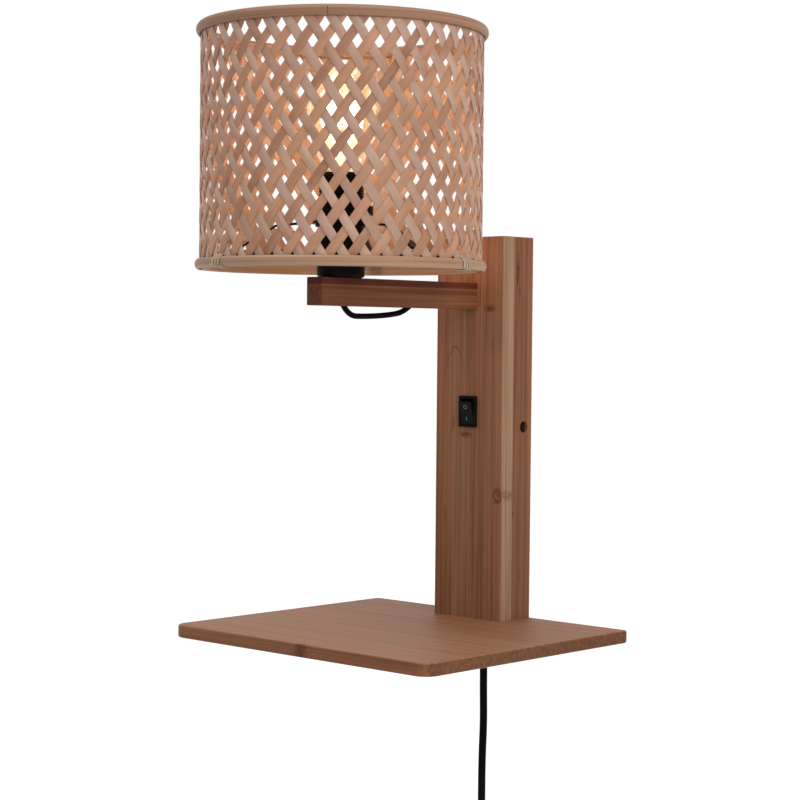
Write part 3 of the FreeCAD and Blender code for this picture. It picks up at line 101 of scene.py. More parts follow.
def bars(points, loop):
    """Points and faces of closed bars. points is (bar, step, corner, 3): a bar is a ring of corners
    carried along its steps. A loop's last ring meets its first, otherwise the ends are capped."""
    count, steps, corners = points.shape[:3]
    first = np.arange(count) * steps * corners
    faces = (first[:, None, None] + grid_faces(steps, corners, loop, True)).reshape(-1, 4).tolist()
    if not loop:
        ring = np.arange(corners)
        for cap in (ring[::-1], (steps - 1) * corners + ring):
            faces += (first[:, None] + cap).tolist()
    return points.reshape(-1, 3), faces


def piece(name, points, faces, body, material, fibre=None, sharp=40.0):
    """A mesh object at the origin that rides on a body, with its faces turned outwards. fibre is
    (along, across, tone) for each point, kept as an attribute for the material."""
    mesh = bpy.data.meshes.new(name)
    mesh.from_pydata(points.tolist(), [], faces)
    work = bmesh.new()
    work.from_mesh(mesh)
    bmesh.ops.recalc_face_normals(work, faces=work.faces)
    work.to_mesh(mesh)
    work.free()
    mesh.polygons.foreach_set("use_smooth", [True] * len(mesh.polygons))
    mesh.set_sharp_from_angle(angle=math.radians(sharp))
    if fibre is not None:
        attribute = mesh.attributes.new("fibre", "FLOAT_VECTOR", "POINT")
        attribute.data.foreach_set("vector", fibre.astype(np.float32).ravel())
    mesh.materials.append(material)
    made = bpy.data.objects.new(name, mesh)
    bpy.context.scene.collection.objects.link(made)
    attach(made, body)
    return made


def turned(outline, axis, steps):
    """Points of a closed outline of (radius, height) turned about an upright axis: the angle runs
    over steps, and a point is (x0 + radius cos angle, y0 + radius sin angle, height)."""
    outline = np.asarray(outline, float)
    angle = np.linspace(0, 2 * math.pi, steps, endpoint=False)[:, None]
    radius, height = outline[:, 0][None], outline[:, 1][None]
    x, y = axis[0] + radius * np.cos(angle), axis[1] + radius * np.sin(angle)
    return np.stack([x, y, np.broadcast_to(height, x.shape)], -1)[None]


# ---------------------------------------------------------------- shader groups


class Tree:
    """Adds nodes to a node tree and links what is given to them."""

    def __init__(self, tree):
        self.tree = tree

    def add(self, kind, inputs=None, **settings):
        node = self.tree.nodes.new(kind if kind.startswith("Node") else "ShaderNode" + kind)
        for name, value in settings.items():
            setattr(node, name, value)
        for name, value in (inputs or {}).items():
            if isinstance(value, bpy.types.NodeSocket):
                self.tree.links.new(value, node.inputs[name])
            else:
                node.inputs[name].default_value = value
        return node

    def math(self, operation, *values, clamp=False):
        return self.add("Math", dict(enumerate(values)), operation=operation, use_clamp=clamp).outputs[0]

    def span(self, value, low, high, to_low=0.0, to_high=1.0):
        """value brought from one range to another, and held inside it."""
        return self.add("MapRange", {"Value": value, "From Min": low, "From Max": high,
                                     "To Min": to_low, "To Max": to_high}).outputs["Result"]

    def noise(self, vector, scale, detail=2.0, roughness=0.5):
        return self.add("TexNoise", {"Vector": vector, "Scale": scale, "Detail": detail,
                                     "Roughness": roughness}).outputs["Fac"]

    def random(self, value):
        return self.add("TexWhiteNoise", {"W": value}, noise_dimensions="1D").outputs["Value"]

    def stretch(self, vector, scale):
        return self.add("VectorMath", {0: vector, 1: scale}, operation="MULTIPLY").outputs[0]

    def join(self, x, y, z):
        return self.add("CombineXYZ", {"X": x, "Y": y, "Z": z}).outputs[0]

    def split(self, vector):
        return self.add("SeparateXYZ", {0: vector}).outputs

    def blend(self, share, first, second, kind="MIX"):
        node = self.add("Mix", data_type="RGBA", blend_type=kind)
        for socket, value in ((node.inputs[0], share), (node.inputs[6], first), (node.inputs[7], second)):
            if isinstance(value, bpy.types.NodeSocket):
                self.tree.links.new(value, socket)
            else:
                socket.default_value = value
        return node.outputs[2]


def group(name, inputs, outputs, fill):
    """A shader node group with named sockets. fill works out the outputs from the inputs."""
    made = bpy.data.node_groups.new(name, "ShaderNodeTree")
    for label, kind, value in inputs:
        socket = made.interface.new_socket(label, in_out="INPUT", socket_type="NodeSocket" + kind)
        if value is not None:
            socket.default_value = value
    for label, kind in outputs:
        made.interface.new_socket(label, in_out="OUTPUT", socket_type="NodeSocket" + kind)
    tree = Tree(made)
    results = fill(tree, tree.add("NodeGroupInput").outputs)
    tree.add("NodeGroupOutput", results)
    return made


def rgb(red, green, blue):
    """A screen colour, 0 to 255 a channel, as the linear colour that a shader takes."""
    channel = lambda v: v / 12.92 if v <= 0.04045 else ((v + 0.055) / 1.055) ** 2.4
    return tuple(channel(v / 255) for v in (red, green, blue)) + (1.0,)


def board_grain(tree, given):
    """Laminated bamboo. Place is (along the fibre, across, through) in metres. Lamellas have a tone each
    and a fine dark joint; streaks are noise drawn out along the fibre; faces across the fibre show
    darker end grain, and Edge tints the faces that lie across the lamellas: the post's front board gets a
    paler wood colour there, the shelf gets painted shade. Marks darken."""
    along, across, through = (tree.split(given["Place"])[i] for i in range(3))
    lamella = tree.math("ADD", tree.math("DIVIDE", across, given["Lamella"]), given["Seed"])
    index, within = tree.math("FLOOR", lamella), tree.math("FRACT", lamella)
    tone = tree.random(index)
    shifted = tree.math("ADD", along, tree.math("MULTIPLY", tone, 3.0))

    def streaks(lengthwise, crosswise, detail, roughness):
        drawn_out = tree.join(tree.math("MULTIPLY", shifted, lengthwise),
                              tree.math("MULTIPLY", across, crosswise),
                              tree.math("MULTIPLY", through, crosswise))
        return tree.noise(drawn_out, 1.0, detail, roughness)

    fine = streaks(9.0, 900.0, 3.0, 0.6)
    wide = streaks(4.0, 330.0, 3.0, 0.65)
    cloud = streaks(6.0, 60.0, 2.0, 0.5)
    joint = tree.span(tree.math("ABSOLUTE", tree.math("SUBTRACT", within, 0.5)), 0.488, 0.5)
    shade = tree.math("ADD", tree.math("MULTIPLY", fine, 0.36), tree.math("MULTIPLY", wide, 0.64))
    shade = tree.span(shade, 0.38, 0.63)
    own_tone = tree.math("MULTIPLY", tree.math("SUBTRACT", tone, 0.5), given["Tones"])
    shade = tree.math("ADD", shade, own_tone, clamp=True)
    colour = tree.blend(shade, given["Dark"], given["Light"])
    warm = tree.blend(tree.span(cloud, 0.35, 0.70), (0.97, 1.02, 1.0, 1.0), (1.10, 0.90, 0.84, 1.0))
    colour = tree.blend(0.8, colour, warm, "MULTIPLY")
    dots = tree.add("TexVoronoi", {"Vector": tree.join(0.0, across, through),
                                   "Scale": 1500.0}).outputs["Distance"]
    blots = tree.noise(tree.join(0.0, tree.math("MULTIPLY", across, 240.0),
                                 tree.math("MULTIPLY", through, 240.0)), 1.0, 3.0, 0.7)
    facing = tree.split(given["Facing"])
    end = tree.span(tree.math("ABSOLUTE", facing[0]), 0.6, 0.85)
    pores = tree.blend(tree.span(dots, 0.20, 0.55), (0.48, 0.40, 0.35, 1.0), (0.68, 0.60, 0.54, 1.0))
    pores = tree.blend(tree.span(blots, 0.35, 0.65), tree.blend(0.30, pores, (0.26, 0.19, 0.15, 1.0)), pores)
    # Edge multiplies the faces across the lamellas: paler wood colour on the post's front board, painted shade on
    # the shelf's front and back edges.
    edge = tree.span(tree.math("ABSOLUTE", facing[1]), 0.6, 0.85)
    dark = tree.blend(tree.math("MAXIMUM", tree.math("MULTIPLY", joint, 0.30), given["Marks"]),
                      WHITE, (0.42, 0.27, 0.22, 1.0))
    colour = tree.blend(1.0, colour, dark, "MULTIPLY")
    colour = tree.blend(1.0, colour, tree.blend(end, WHITE, pores), "MULTIPLY")
    colour = tree.blend(1.0, colour, tree.blend(edge, WHITE, given["Edge"]), "MULTIPLY")
    height = tree.math("SUBTRACT", tree.math("MULTIPLY", fine, 0.6), tree.math("MULTIPLY", joint, 0.6))
    return {"Color": colour, "Roughness": tree.span(fine, 0.2, 0.8, 0.44, 0.64), "Height": height}


def grain_mark(tree, given):
    """A mark in the grain: 1 in the middle of an ellipse about At, 0 beyond Reach, or a ring of that
    outline where Ring is 1. Fine noise breaks it up into spots with an uneven rim."""
    ragged = tree.noise(tree.stretch(given["Place"], (0.45, 1.0, 1.0)), 850.0, 2.0, 0.6)
    moved = tree.add("VectorMath", {0: given["Place"], 1: given["At"]}, operation="SUBTRACT").outputs[0]
    share = tree.add("VectorMath", {0: tree.stretch(moved, (1.0, 1.0, 0.0)), 1: given["Reach"]},
                     operation="DIVIDE").outputs[0]
    length = tree.add("VectorMath", {0: share}, operation="LENGTH").outputs["Value"]
    distance = tree.math("ADD", length, tree.math("MULTIPLY", tree.math("SUBTRACT", ragged, 0.5), 2.0))
    spot = tree.span(distance, 1.0, 0.2)
    ring = tree.span(tree.math("ABSOLUTE", tree.math("SUBTRACT", distance, 0.75)), 0.42, 0.08)
    mixed = tree.math("ADD", tree.math("MULTIPLY", spot, tree.math("SUBTRACT", 1.0, given["Ring"])),
                      tree.math("MULTIPLY", ring, given["Ring"]))
    near = tree.span(length, 1.35, 0.9)
    return {"Mark": tree.math("MULTIPLY", tree.math("MULTIPLY", mixed, near), given["Strength"])}


def arched_grain(tree, given):
    """A faint arch where a growth ring is cut at a slant: a line where along = peak - bow * across^2,
    both about At, uneven and fading out below."""
    uneven = tree.noise(given["Place"], 160.0, 2.0, 0.5)
    offset = tree.add("VectorMath", {0: given["Place"], 1: given["At"]}, operation="SUBTRACT").outputs[0]
    along, across = (tree.split(offset)[i] for i in (0, 1))
    rise = tree.math("ADD", along, tree.math("MULTIPLY", tree.math("MULTIPLY", across, across), 234.0))
    rise = tree.math("ADD", rise, tree.math("MULTIPLY", tree.math("SUBTRACT", uneven, 0.5), 0.008))
    line = tree.span(tree.math("ABSOLUTE", rise), 0.0017, 0.0003)
    fade = tree.math("MULTIPLY", tree.span(along, -0.034, -0.010),
                     tree.span(tree.math("ABSOLUTE", across), 0.013, 0.007))
    return {"Mark": tree.math("MULTIPLY", tree.math("MULTIPLY", line, fade), given["Strength"])}


def strip_fibre(tree, given):
    """Split bamboo or cane. Fibre is (along, across, tone) from the mesh: tone picks the strip's own
    colour, fine noise drawn out along the strip gives its fibres, slow noise its stains."""
    along, across, tone = (tree.split(given["Fibre"])[i] for i in range(3))
    lane = tree.math("MULTIPLY", tone, 37.0)

    def streaks(lengthwise, crosswise, detail):
        drawn_out = tree.join(tree.math("MULTIPLY", along, lengthwise),
                              tree.math("MULTIPLY", across, crosswise), lane)
        return tree.noise(drawn_out, 1.0, detail, 0.55)

    fine, wide, stain = streaks(14.0, 2400.0, 3.0), streaks(12.0, 420.0, 2.0), streaks(34.0, 60.0, 3.0)
    share = tree.math("ADD", tree.math("MULTIPLY", tree.span(stain, 0.34, 0.66), 0.46),
                      tree.math("MULTIPLY", tone, 0.54))
    share = tree.math("ADD", share, tree.math("MULTIPLY", tree.math("SUBTRACT", wide, 0.5), 0.4), clamp=True)
    colour = tree.blend(share, given["Dark"], given["Light"])
    rosy = tree.span(tree.random(tree.math("ADD", lane, 3.1)), 0.2, 0.8)
    colour = tree.blend(tree.math("MULTIPLY", rosy, 0.6), colour, given["Other"])
    lines = tree.blend(tree.span(fine, 0.3, 0.6), (0.84, 0.79, 0.75, 1.0), (1.03, 1.02, 1.02, 1.0))
    colour = tree.blend(0.7, colour, lines, "MULTIPLY")
    # Painted shade: the colour darkens towards the long edges of each strip and each cane, as a rounded edge turned
    # from the light would look.
    rim = tree.span(tree.math("ABSOLUTE", across), given["Half Width"],
                    tree.math("MULTIPLY", given["Half Width"], 0.86))
    colour = tree.blend(1.0, colour, tree.blend(rim, (0.88, 0.81, 0.76, 1.0), WHITE), "MULTIPLY")
    return {"Color": colour, "Roughness": tree.span(fine, 0.2, 0.8, 0.42, 0.62), "Height": fine}


def hoop_place(tree, given):
    """Place round the shade's axis in metres: (arc length, height, radius)."""
    x, y, z = (tree.split(given["Place"])[i] for i in range(3))
    y = tree.math("SUBTRACT", y, HOLDER_Y)
    radius = tree.math("SQRT", tree.math("ADD", tree.math("MULTIPLY", x, x), tree.math("MULTIPLY", y, y)))
    arc = tree.math("MULTIPLY", tree.math("ARCTAN2", y, x), 0.094)
    return {"Place": tree.join(arc, z, radius)}


def moulded_skin(tree, given):
    """A moulded plastic or rubber skin: a fine grain, slow patches of gloss and a little pale dust."""
    grain = tree.noise(given["Place"], given["Grain"], 3.0, 0.6)
    patch = tree.noise(given["Place"], 90.0, 2.0, 0.5)
    dust = tree.math("MULTIPLY", tree.span(patch, 0.45, 0.8), given["Dust"])
    colour = tree.blend(dust, given["Color"], (0.10, 0.09, 0.08, 1.0))
    rough = tree.math("ADD", given["Roughness"], tree.math("MULTIPLY", tree.math("SUBTRACT", patch, 0.5), 0.16))
    return {"Color": colour, "Roughness": rough, "Height": grain}


def metal_skin(tree, given):
    """Drawn or turned metal: fine marks drawn out along Place's first axis, and slow tarnish."""
    marks = tree.noise(tree.stretch(given["Place"], (60.0, 2500.0, 2500.0)), 1.0, 3.0, 0.6)
    tarnish = tree.noise(given["Place"], 160.0, 2.0, 0.5)
    colour = tree.blend(tree.math("MULTIPLY", tree.span(tarnish, 0.4, 0.75), given["Tarnish"]), given["Color"],
                        (0.12, 0.09, 0.07, 1.0))
    rough = tree.span(tree.math("ADD", marks, tree.math("MULTIPLY", tarnish, 0.4)), 0.4, 1.1, 0.22, 0.46)
    return {"Color": colour, "Roughness": rough, "Height": marks}


SURFACE = [("Color", "Color"), ("Roughness", "Float"), ("Height", "Float")]
BOARD = group("board grain", [("Place", "Vector", None), ("Facing", "Vector", None), ("Lamella", "Float", 0.02),
                              ("Seed", "Float", 0.0), ("Tones", "Float", 0.35), ("Marks", "Float", 0.0),
                              ("Edge", "Color", WHITE), ("Light", "Color", None),
                              ("Dark", "Color", None)], SURFACE, board_grain)
GRAIN_MARK = group("grain mark", [("Place", "Vector", None), ("At", "Vector", None), ("Reach", "Vector", None),
                                  ("Ring", "Float", 0.0), ("Strength", "Float", 0.5)],
                   [("Mark", "Float")], grain_mark)
ARCHES = group("arched grain", [("Place", "Vector", None), ("At", "Vector", None), ("Strength", "Float", 0.4)],
               [("Mark", "Float")], arched_grain)
FIBRE = group("strip fibre", [("Fibre", "Vector", None), ("Half Width", "Float", 0.003), ("Light", "Color", None),
                              ("Dark", "Color", None), ("Other", "Color", None)], SURFACE, strip_fibre)
HOOP = group("place round the shade", [("Place", "Vector", None)], [("Place", "Vector")], hoop_place)
SKIN = group("moulded skin", [("Place", "Vector", None), ("Color", "Color", None), ("Roughness", "Float", 0.4),
                              ("Grain", "Float", 2500.0), ("Dust", "Float", 0.05)], SURFACE, moulded_skin)
METAL = group("metal skin", [("Place", "Vector", None), ("Color", "Color", None), ("Tarnish", "Float", 0.3)],
              SURFACE, metal_skin)


# ---------------------------------------------------------------- materials


def use(tree, group_tree, inputs):
    """Places a shader group in a tree and gives its outputs."""
    node = tree.add("Group", node_tree=group_tree)
    for label, value in inputs.items():
        if isinstance(value, bpy.types.NodeSocket):
            tree.tree.links.new(value, node.inputs[label])
        else:
            node.inputs[label].default_value = value
    return node.outputs


def empty_material(name):
    """A new material without nodes, and its tree."""
    material = bpy.data.materials.new(name)
    material.use_nodes = True
    material.node_tree.nodes.clear()
    return material, Tree(material.node_tree)


def seen_white(tree):
    """1 for camera, glossy and transmitted rays, 0 for the others."""
    ray = tree.add("LightPath").outputs
    return tree.math("MAXIMUM", ray["Is Camera Ray"],
                     tree.math("MAXIMUM", ray["Is Glossy Ray"], ray["Is Transmission Ray"]))


def surface(name, shader, bump, group_tree, group_inputs, place):
    """A material whose Principled shader takes colour, roughness and bump from a group. shader holds the
    values that are the same all over, and bump is the depth of the group's relief in metres."""
    material, tree = empty_material(name)
    skin = use(tree, group_tree, {**place(tree), **group_inputs})
    relief = tree.add("Bump", {"Height": skin["Height"], "Distance": bump, "Strength": 1.0})
    principled = tree.add("BsdfPrincipled", {"Base Color": skin["Color"], "Roughness": skin["Roughness"],
                                             "Normal": relief.outputs[0], **shader})
    tree.add("OutputMaterial", {"Surface": principled.outputs[0]})
    return material


def board_place(order, marks=(), arches=()):
    """Object coordinates in the order (along the fibre, across, through). marks are (along, across, half
    length, half width, ring, strength) and arches are (along, across, strength), in metres."""
    def place(tree):
        given = tree.add("TexCoord").outputs
        swapped = {}
        for label, socket in (("Place", given["Object"]), ("Facing", given["Normal"])):
            parts = tree.split(socket)
            swapped[label] = tree.join(*(parts[i] for i in order))
        found = [use(tree, GRAIN_MARK, {"Place": swapped["Place"], "At": (along, across, 0.0), "Ring": ring,
                                        "Reach": (length, width, 1.0), "Strength": strength})["Mark"]
                 for along, across, length, width, ring, strength in marks]
        found += [use(tree, ARCHES, {"Place": swapped["Place"], "At": (along, across, 0.0),
                                     "Strength": strength})["Mark"]
                  for along, across, strength in arches]
        for mark in found:
            swapped["Marks"] = tree.math("MAXIMUM", mark, swapped.get("Marks", 0.0))
        return swapped
    return place


def plain_place(tree):
    """Object coordinates as they are."""
    return {"Place": tree.add("TexCoord").outputs["Object"]}


def round_place(tree):
    """Object coordinates laid out round the shade's axis."""
    return {"Place": use(tree, HOOP, {"Place": tree.add("TexCoord").outputs["Object"]})["Place"]}


def fibre_place(tree):
    """The fibre attribute that the strips and the cane carry."""
    return {"Fibre": tree.add("Attribute", attribute_name="fibre").outputs["Vector"]}


ALONG_X, ALONG_Y, ALONG_Z, CHEEK = (0, 1, 2), (1, 2, 0), (2, 0, 1), (2, 1, 0)


def bamboo(name, place, light, dark, lamella, seed, tones=0.35, edge=WHITE):
    return surface(name, {"Specular IOR Level": 0.15}, 0.00006, BOARD,
                   {"Light": light, "Dark": dark, "Lamella": lamella, "Seed": seed, "Tones": tones,
                    "Edge": edge}, place)


def hoop_bamboo(name, light, dark, seed):
    return surface(name, {"Specular IOR Level": 0.3}, 0.00008, BOARD,
                   {"Light": light, "Dark": dark, "Lamella": 0.05, "Seed": seed, "Tones": 0.1}, round_place)


def strip_material(name, light, dark, other, half_width, glow=0.0):
    return surface(name, {"Specular IOR Level": 0.3, "Subsurface Weight": glow, "Subsurface Radius": (1.0, 0.7, 0.5),
                          "Subsurface Scale": 0.001}, 0.00004, FIBRE,
                   {"Light": light, "Dark": dark, "Other": other, "Half Width": half_width}, fibre_place)


def plastic(name, colour, roughness, specular=0.12, grain=2500.0, dust=0.04, bump=0.00001):
    return surface(name, {"Specular IOR Level": specular}, bump, SKIN,
                   {"Color": colour, "Roughness": roughness, "Grain": grain, "Dust": dust}, plain_place)


def metal(name, colour, tarnish):
    return surface(name, {"Metallic": 1.0}, 0.000004, METAL, {"Color": colour, "Tarnish": tarnish}, plain_place)


front_place = board_place(ALONG_Z, marks=(
    (-0.0477, 0.0272, 0.0058, 0.0040, 1.0, 0.85), (-0.0470, 0.0278, 0.0022, 0.0014, 0.0, 0.9),
    (-0.0058, -0.0030, 0.0030, 0.0075, 0.0, 1.0), (0.0020, -0.0140, 0.0080, 0.0022, 0.0, 0.5),
    (0.0830, 0.0190, 0.0034, 0.0065, 0.0, 0.9), (0.0560, 0.0215, 0.0070, 0.0014, 0.0, 0.4),
    (-0.0650, -0.0210, 0.0090, 0.0016, 0.0, 0.5)), arches=((0.0559, -0.0134, 0.55),))
cheek_place = board_place(CHEEK, marks=(
    (0.1085, -0.0175, 0.0150, 0.0020, 0.0, 1.0), (0.0960, -0.0150, 0.0070, 0.0012, 0.0, 0.8),
    (0.0400, -0.0230, 0.0160, 0.0012, 0.0, 0.5), (-0.0610, -0.0210, 0.0030, 0.0020, 0.0, 0.9),
    (-0.1050, -0.0120, 0.0100, 0.0012, 0.0, 0.5)))
shelf_place = board_place(ALONG_X, marks=(
    (0.0080, -0.2050, 0.0075, 0.0030, 0.0, 0.8), (-0.0700, -0.1300, 0.0080, 0.0014, 0.0, 0.4),
    (0.0500, -0.0900, 0.0100, 0.0012, 0.0, 0.4)))
post_front = bamboo("bamboo post front", front_place, rgb(154, 110, 80), rgb(116, 78, 53), 0.0219, 0.9087, 0.30,
                    (1.22, 1.52, 1.85, 1.0))
post_side = bamboo("bamboo post side", cheek_place, rgb(151, 101, 71), rgb(108, 68, 45), 0.021, 0.3, 0.3)
arm_wood = bamboo("bamboo arm", board_place(ALONG_Y), rgb(140, 92, 62), rgb(98, 60, 40), 0.03, 0.4, 0.25)
arm_dark = bamboo("bamboo arm cover", board_place(ALONG_Y), rgb(104, 55, 34), rgb(74, 36, 21), 0.03, 0.2, 0.2)
# The shelf's edge colour (0.74, 0.70, 0.66) is painted shade: it darkens the shelf's front and back edges.
shelf_wood = bamboo("bamboo shelf", shelf_place, rgb(158, 112, 82), rgb(124, 86, 60), 0.024, 0.0, 0.4,
                    (0.74, 0.70, 0.66, 1.0))
top_hoop = hoop_bamboo("bamboo hoop, brown", rgb(166, 130, 104), rgb(132, 97, 74), 0.2)
bottom_hoop = hoop_bamboo("bamboo hoop, pale", rgb(178, 147, 120), rgb(142, 110, 85), 0.6)
# The strips that rise to the right are redder than the others: partly their own colour, partly painted light for the
# lamp's glow shining through them.
strips_warm = strip_material("bamboo strips, warm", rgb(205, 160, 130), rgb(140, 96, 72), rgb(186, 136, 104),
                             STRIP_WIDTH / 2, 0.2)
strips_pale = strip_material("bamboo strips, pale", rgb(208, 176, 154), rgb(158, 118, 96), rgb(180, 150, 134),
                             STRIP_WIDTH / 2, 0.2)
cane = strip_material("cane", rgb(192, 172, 150), rgb(142, 118, 98), rgb(174, 153, 134), CANE_HALF_WIDTH)
black_gloss = plastic("black gloss plastic", (0.0030, 0.0028, 0.0029, 1.0), 0.26, 0.06)
black_satin = plastic("black satin plastic", (0.0044, 0.0032, 0.0028, 1.0), 0.38, 0.04)
black_matt = plastic("black matt plastic", (0.0066, 0.0058, 0.0056, 1.0), 0.62, 0.05, 1800.0, 0.05, 0.00003)
grey_plastic = plastic("grey plastic", rgb(158, 158, 156), 0.45, 0.4)
cord_black = plastic("cord rubber", (0.0026, 0.0026, 0.0026, 1.0), 0.46, 0.03, 3200.0, 0.02, 0.00002)
mark_paint = plastic("switch marks", rgb(102, 104, 120), 0.5, 0.2)
black_steel = plastic("black painted steel", (0.0050, 0.0044, 0.0042, 1.0), 0.36, 0.08, 1400.0, 0.03, 0.00003)
zinc = metal("zinc plated steel", (0.60, 0.60, 0.58, 1.0), 0.25)
brass = metal("brass", (0.78, 0.58, 0.26, 1.0), 0.3)


def glass(name):
    """Clear blown glass with a faint warm glow from the lit sticks."""
    material, tree = empty_material(name)
    place = tree.add("TexCoord").outputs["Object"]
    ripple = tree.add("Bump", {"Height": tree.noise(place, 120.0, 1.0), "Distance": 0.0001, "Strength": 1.0})
    shader = tree.add("BsdfPrincipled", {
        "Base Color": (1.0, 0.97, 0.90, 1.0), "Roughness": 0.02, "Transmission Weight": 1.0, "IOR": 1.45,
        "Emission Color": (1.0, 0.70, 0.34, 1.0), "Emission Strength": 0.10, "Normal": ripple.outputs[0]})
    tree.add("OutputMaterial", {"Surface": shader.outputs[0]})
    return material


def glowing(name):
    """Lit filament sticks: a yellow coat whose glow runs between two yellows in small noise spots."""
    material, tree = empty_material(name)
    place = tree.add("TexCoord").outputs["Object"]
    spots = tree.noise(tree.stretch(place, (400.0, 400.0, 900.0)), 1.0, 1.0)
    colour = tree.blend(tree.span(spots, 0.3, 0.7), (1.0, 0.66, 0.24, 1.0), (1.0, 0.88, 0.56, 1.0))
    shader = tree.add("BsdfPrincipled", {"Base Color": (0.9, 0.6, 0.2, 1.0), "Roughness": 0.5,
                                         "Emission Color": colour, "Emission Strength": 5.0})
    tree.add("OutputMaterial", {"Surface": shader.outputs[0]})
    return material


clear_glass = glass("clear glass")
lit_filament = glowing("lit filament")

NODE_MATERIALS = {
    "shelf_board": shelf_wood, "post_front_board": post_front, "post_left_cheek": post_side,
    "post_right_cheek": post_side, "post_foot_block": post_side, "post_top_block": post_side,
    "arm_bar": arm_wood, "arm_cover_strip": arm_dark, "shelf_screws": zinc, "wall_bracket": zinc,
    "side_screws": black_steel, "arm_screws": zinc, "switch_housing": black_satin, "switch_rocker": black_gloss,
    "switch_blades": brass, "switch_wires": cord_black, "terminal_block": grey_plastic, "terminal_screws": zinc,
    "cord_clamp": grey_plastic, "cord_clamp_screws": zinc, "inner_mains_lead": cord_black,
    "cord_boot": cord_black, "holder_nipple": zinc, "holder_nut": zinc, "holder_cup": black_satin,
    "holder_skirt": black_satin, "holder_insert": black_matt, "holder_screw_shell": brass,
    "holder_centre_contact": brass, "shade_ring": black_satin, "bulb_glass": clear_glass, "bulb_cap": zinc,
    "bulb_insulator": black_matt, "bulb_contact": zinc, "bulb_stem": clear_glass, "bulb_filaments": lit_filament,
    "shade_weave": strips_pale, "top_outer_hoop": top_hoop, "top_inner_hoop": top_hoop,
    "bottom_outer_hoop": bottom_hoop, "bottom_inner_hoop": bottom_hoop, "shade_carrier": black_steel,
    "hoop_bindings": cane, "arm_lead": cord_black, "mains_cord": cord_black, "cord_coil": cord_black,
    "cord_tie": black_matt, "plug_body": cord_black, "plug_pins": zinc,
}
for label, node in nodes.items():
    node.data.materials.clear()
    node.data.materials.append(NODE_MATERIALS[label])


# ---------------------------------------------------------------- camera


def add_camera():
    """The photograph's camera: its place, heading 42.57 degrees left of +Y, 1.75 down, rolled 0.55."""
    azimuth, pitch, roll = (math.radians(a) for a in CAMERA_TURNS)
    forward = Vector((-math.sin(azimuth) * math.cos(pitch), math.cos(azimuth) * math.cos(pitch), math.sin(pitch)))
    right = Vector((math.cos(azimuth), math.sin(azimuth), 0))
    up = right.cross(forward)
    across = math.cos(roll) * right + math.sin(roll) * up
    upward = math.cos(roll) * up - math.sin(roll) * right
    data = bpy.data.cameras.new("camera")
    data.sensor_width, data.lens = SENSOR, FOCAL_PIXELS / PICTURE_PIXELS * SENSOR
    data.shift_x, data.clip_start = -0.0146, 0.01
    camera = bpy.data.objects.new("camera", data)
    bpy.context.scene.collection.objects.link(camera)
    turn = Matrix((across, upward, -forward)).transposed().to_4x4()
    camera.matrix_world = Matrix.Translation(CAMERA_PLACE) @ turn
    bpy.context.scene.camera = camera


add_camera()


# ---------------------------------------------------------------- mains cord

CORD_DIAMETER = 0.0055
CORD_X, CORD_Y = 0.002, -0.016
COIL_RADIUS = 0.033
COIL_PITCH = 0.0061
COIL_TURNS = 8.125
COIL_START = math.radians(135.0)
COIL_Y, COIL_Z = -0.00685, -0.348
HANG = [(0.002, -0.016, -0.1662), (0.002, -0.016, -0.1877), (0.0024, -0.0157, -0.2117),
        (0.0016, -0.0162, -0.2377), (0.0010, -0.0155, -0.270), (-0.006, -0.00685, -0.2987)]


def coil_points(per_turn=24):
    """The coil's turns: the angle grows steadily from 135 degrees, the radius runs in and out by 6.1 mm a
    turn about 33 mm, and every second turn steps 6.1 mm away from the wall over half a turn, as s*s*(3-2s)."""
    turn = np.arange(0, COIL_TURNS + 1e-9, 1 / per_turn)
    layer = np.minimum(turn // 2, 3)
    into = turn - 2 * layer
    radius = COIL_RADIUS + COIL_PITCH * np.where(layer % 2 == 0, 1 - into, into - 1)
    step = np.round(turn / 2)
    share = np.clip((turn - 2 * step) / 0.5 + 0.5, 0, 1)
    climb = np.where((step >= 1) & (step <= 3), step - 1 + share * share * (3 - 2 * share), layer)
    angle = COIL_START + 2 * math.pi * turn
    return np.stack([radius * np.cos(angle), COIL_Y - COIL_PITCH * climb, COIL_Z + radius * np.sin(angle)], -1)


def mains_cord():
    """The cord as one round spline: it hangs from the boot, runs into its coil and out to the plug."""
    coil = coil_points()
    lead_in = np.array([coil[0] + (CORD_DIAMETER / math.sqrt(2), 0, CORD_DIAMETER / math.sqrt(2))])
    end = coil[-1]
    tail = np.array([end + (0, 0, -0.007), end + (0, 0, -0.014)])
    points = np.concatenate([np.array(HANG), lead_in, coil, tail])
    curve = bpy.data.curves.new("mains_flex", "CURVE")
    curve.dimensions = "3D"
    spline = curve.splines.new("NURBS")
    spline.points.add(len(points) - 1)
    spline.points.foreach_set("co", np.concatenate([points, np.ones((len(points), 1))], 1).ravel())
    spline.order_u = 3
    spline.use_endpoint_u = True
    curve.resolution_u = 4
    curve.bevel_depth = CORD_DIAMETER / 2
    curve.bevel_resolution = 4
    curve.use_fill_caps = True
    curve.materials.append(cord_black)
    made = bpy.data.objects.new("mains_flex", curve)
    bpy.context.scene.collection.objects.link(made)
    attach(made, "lamp")
    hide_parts("mains_cord", "cord_coil")
    return made


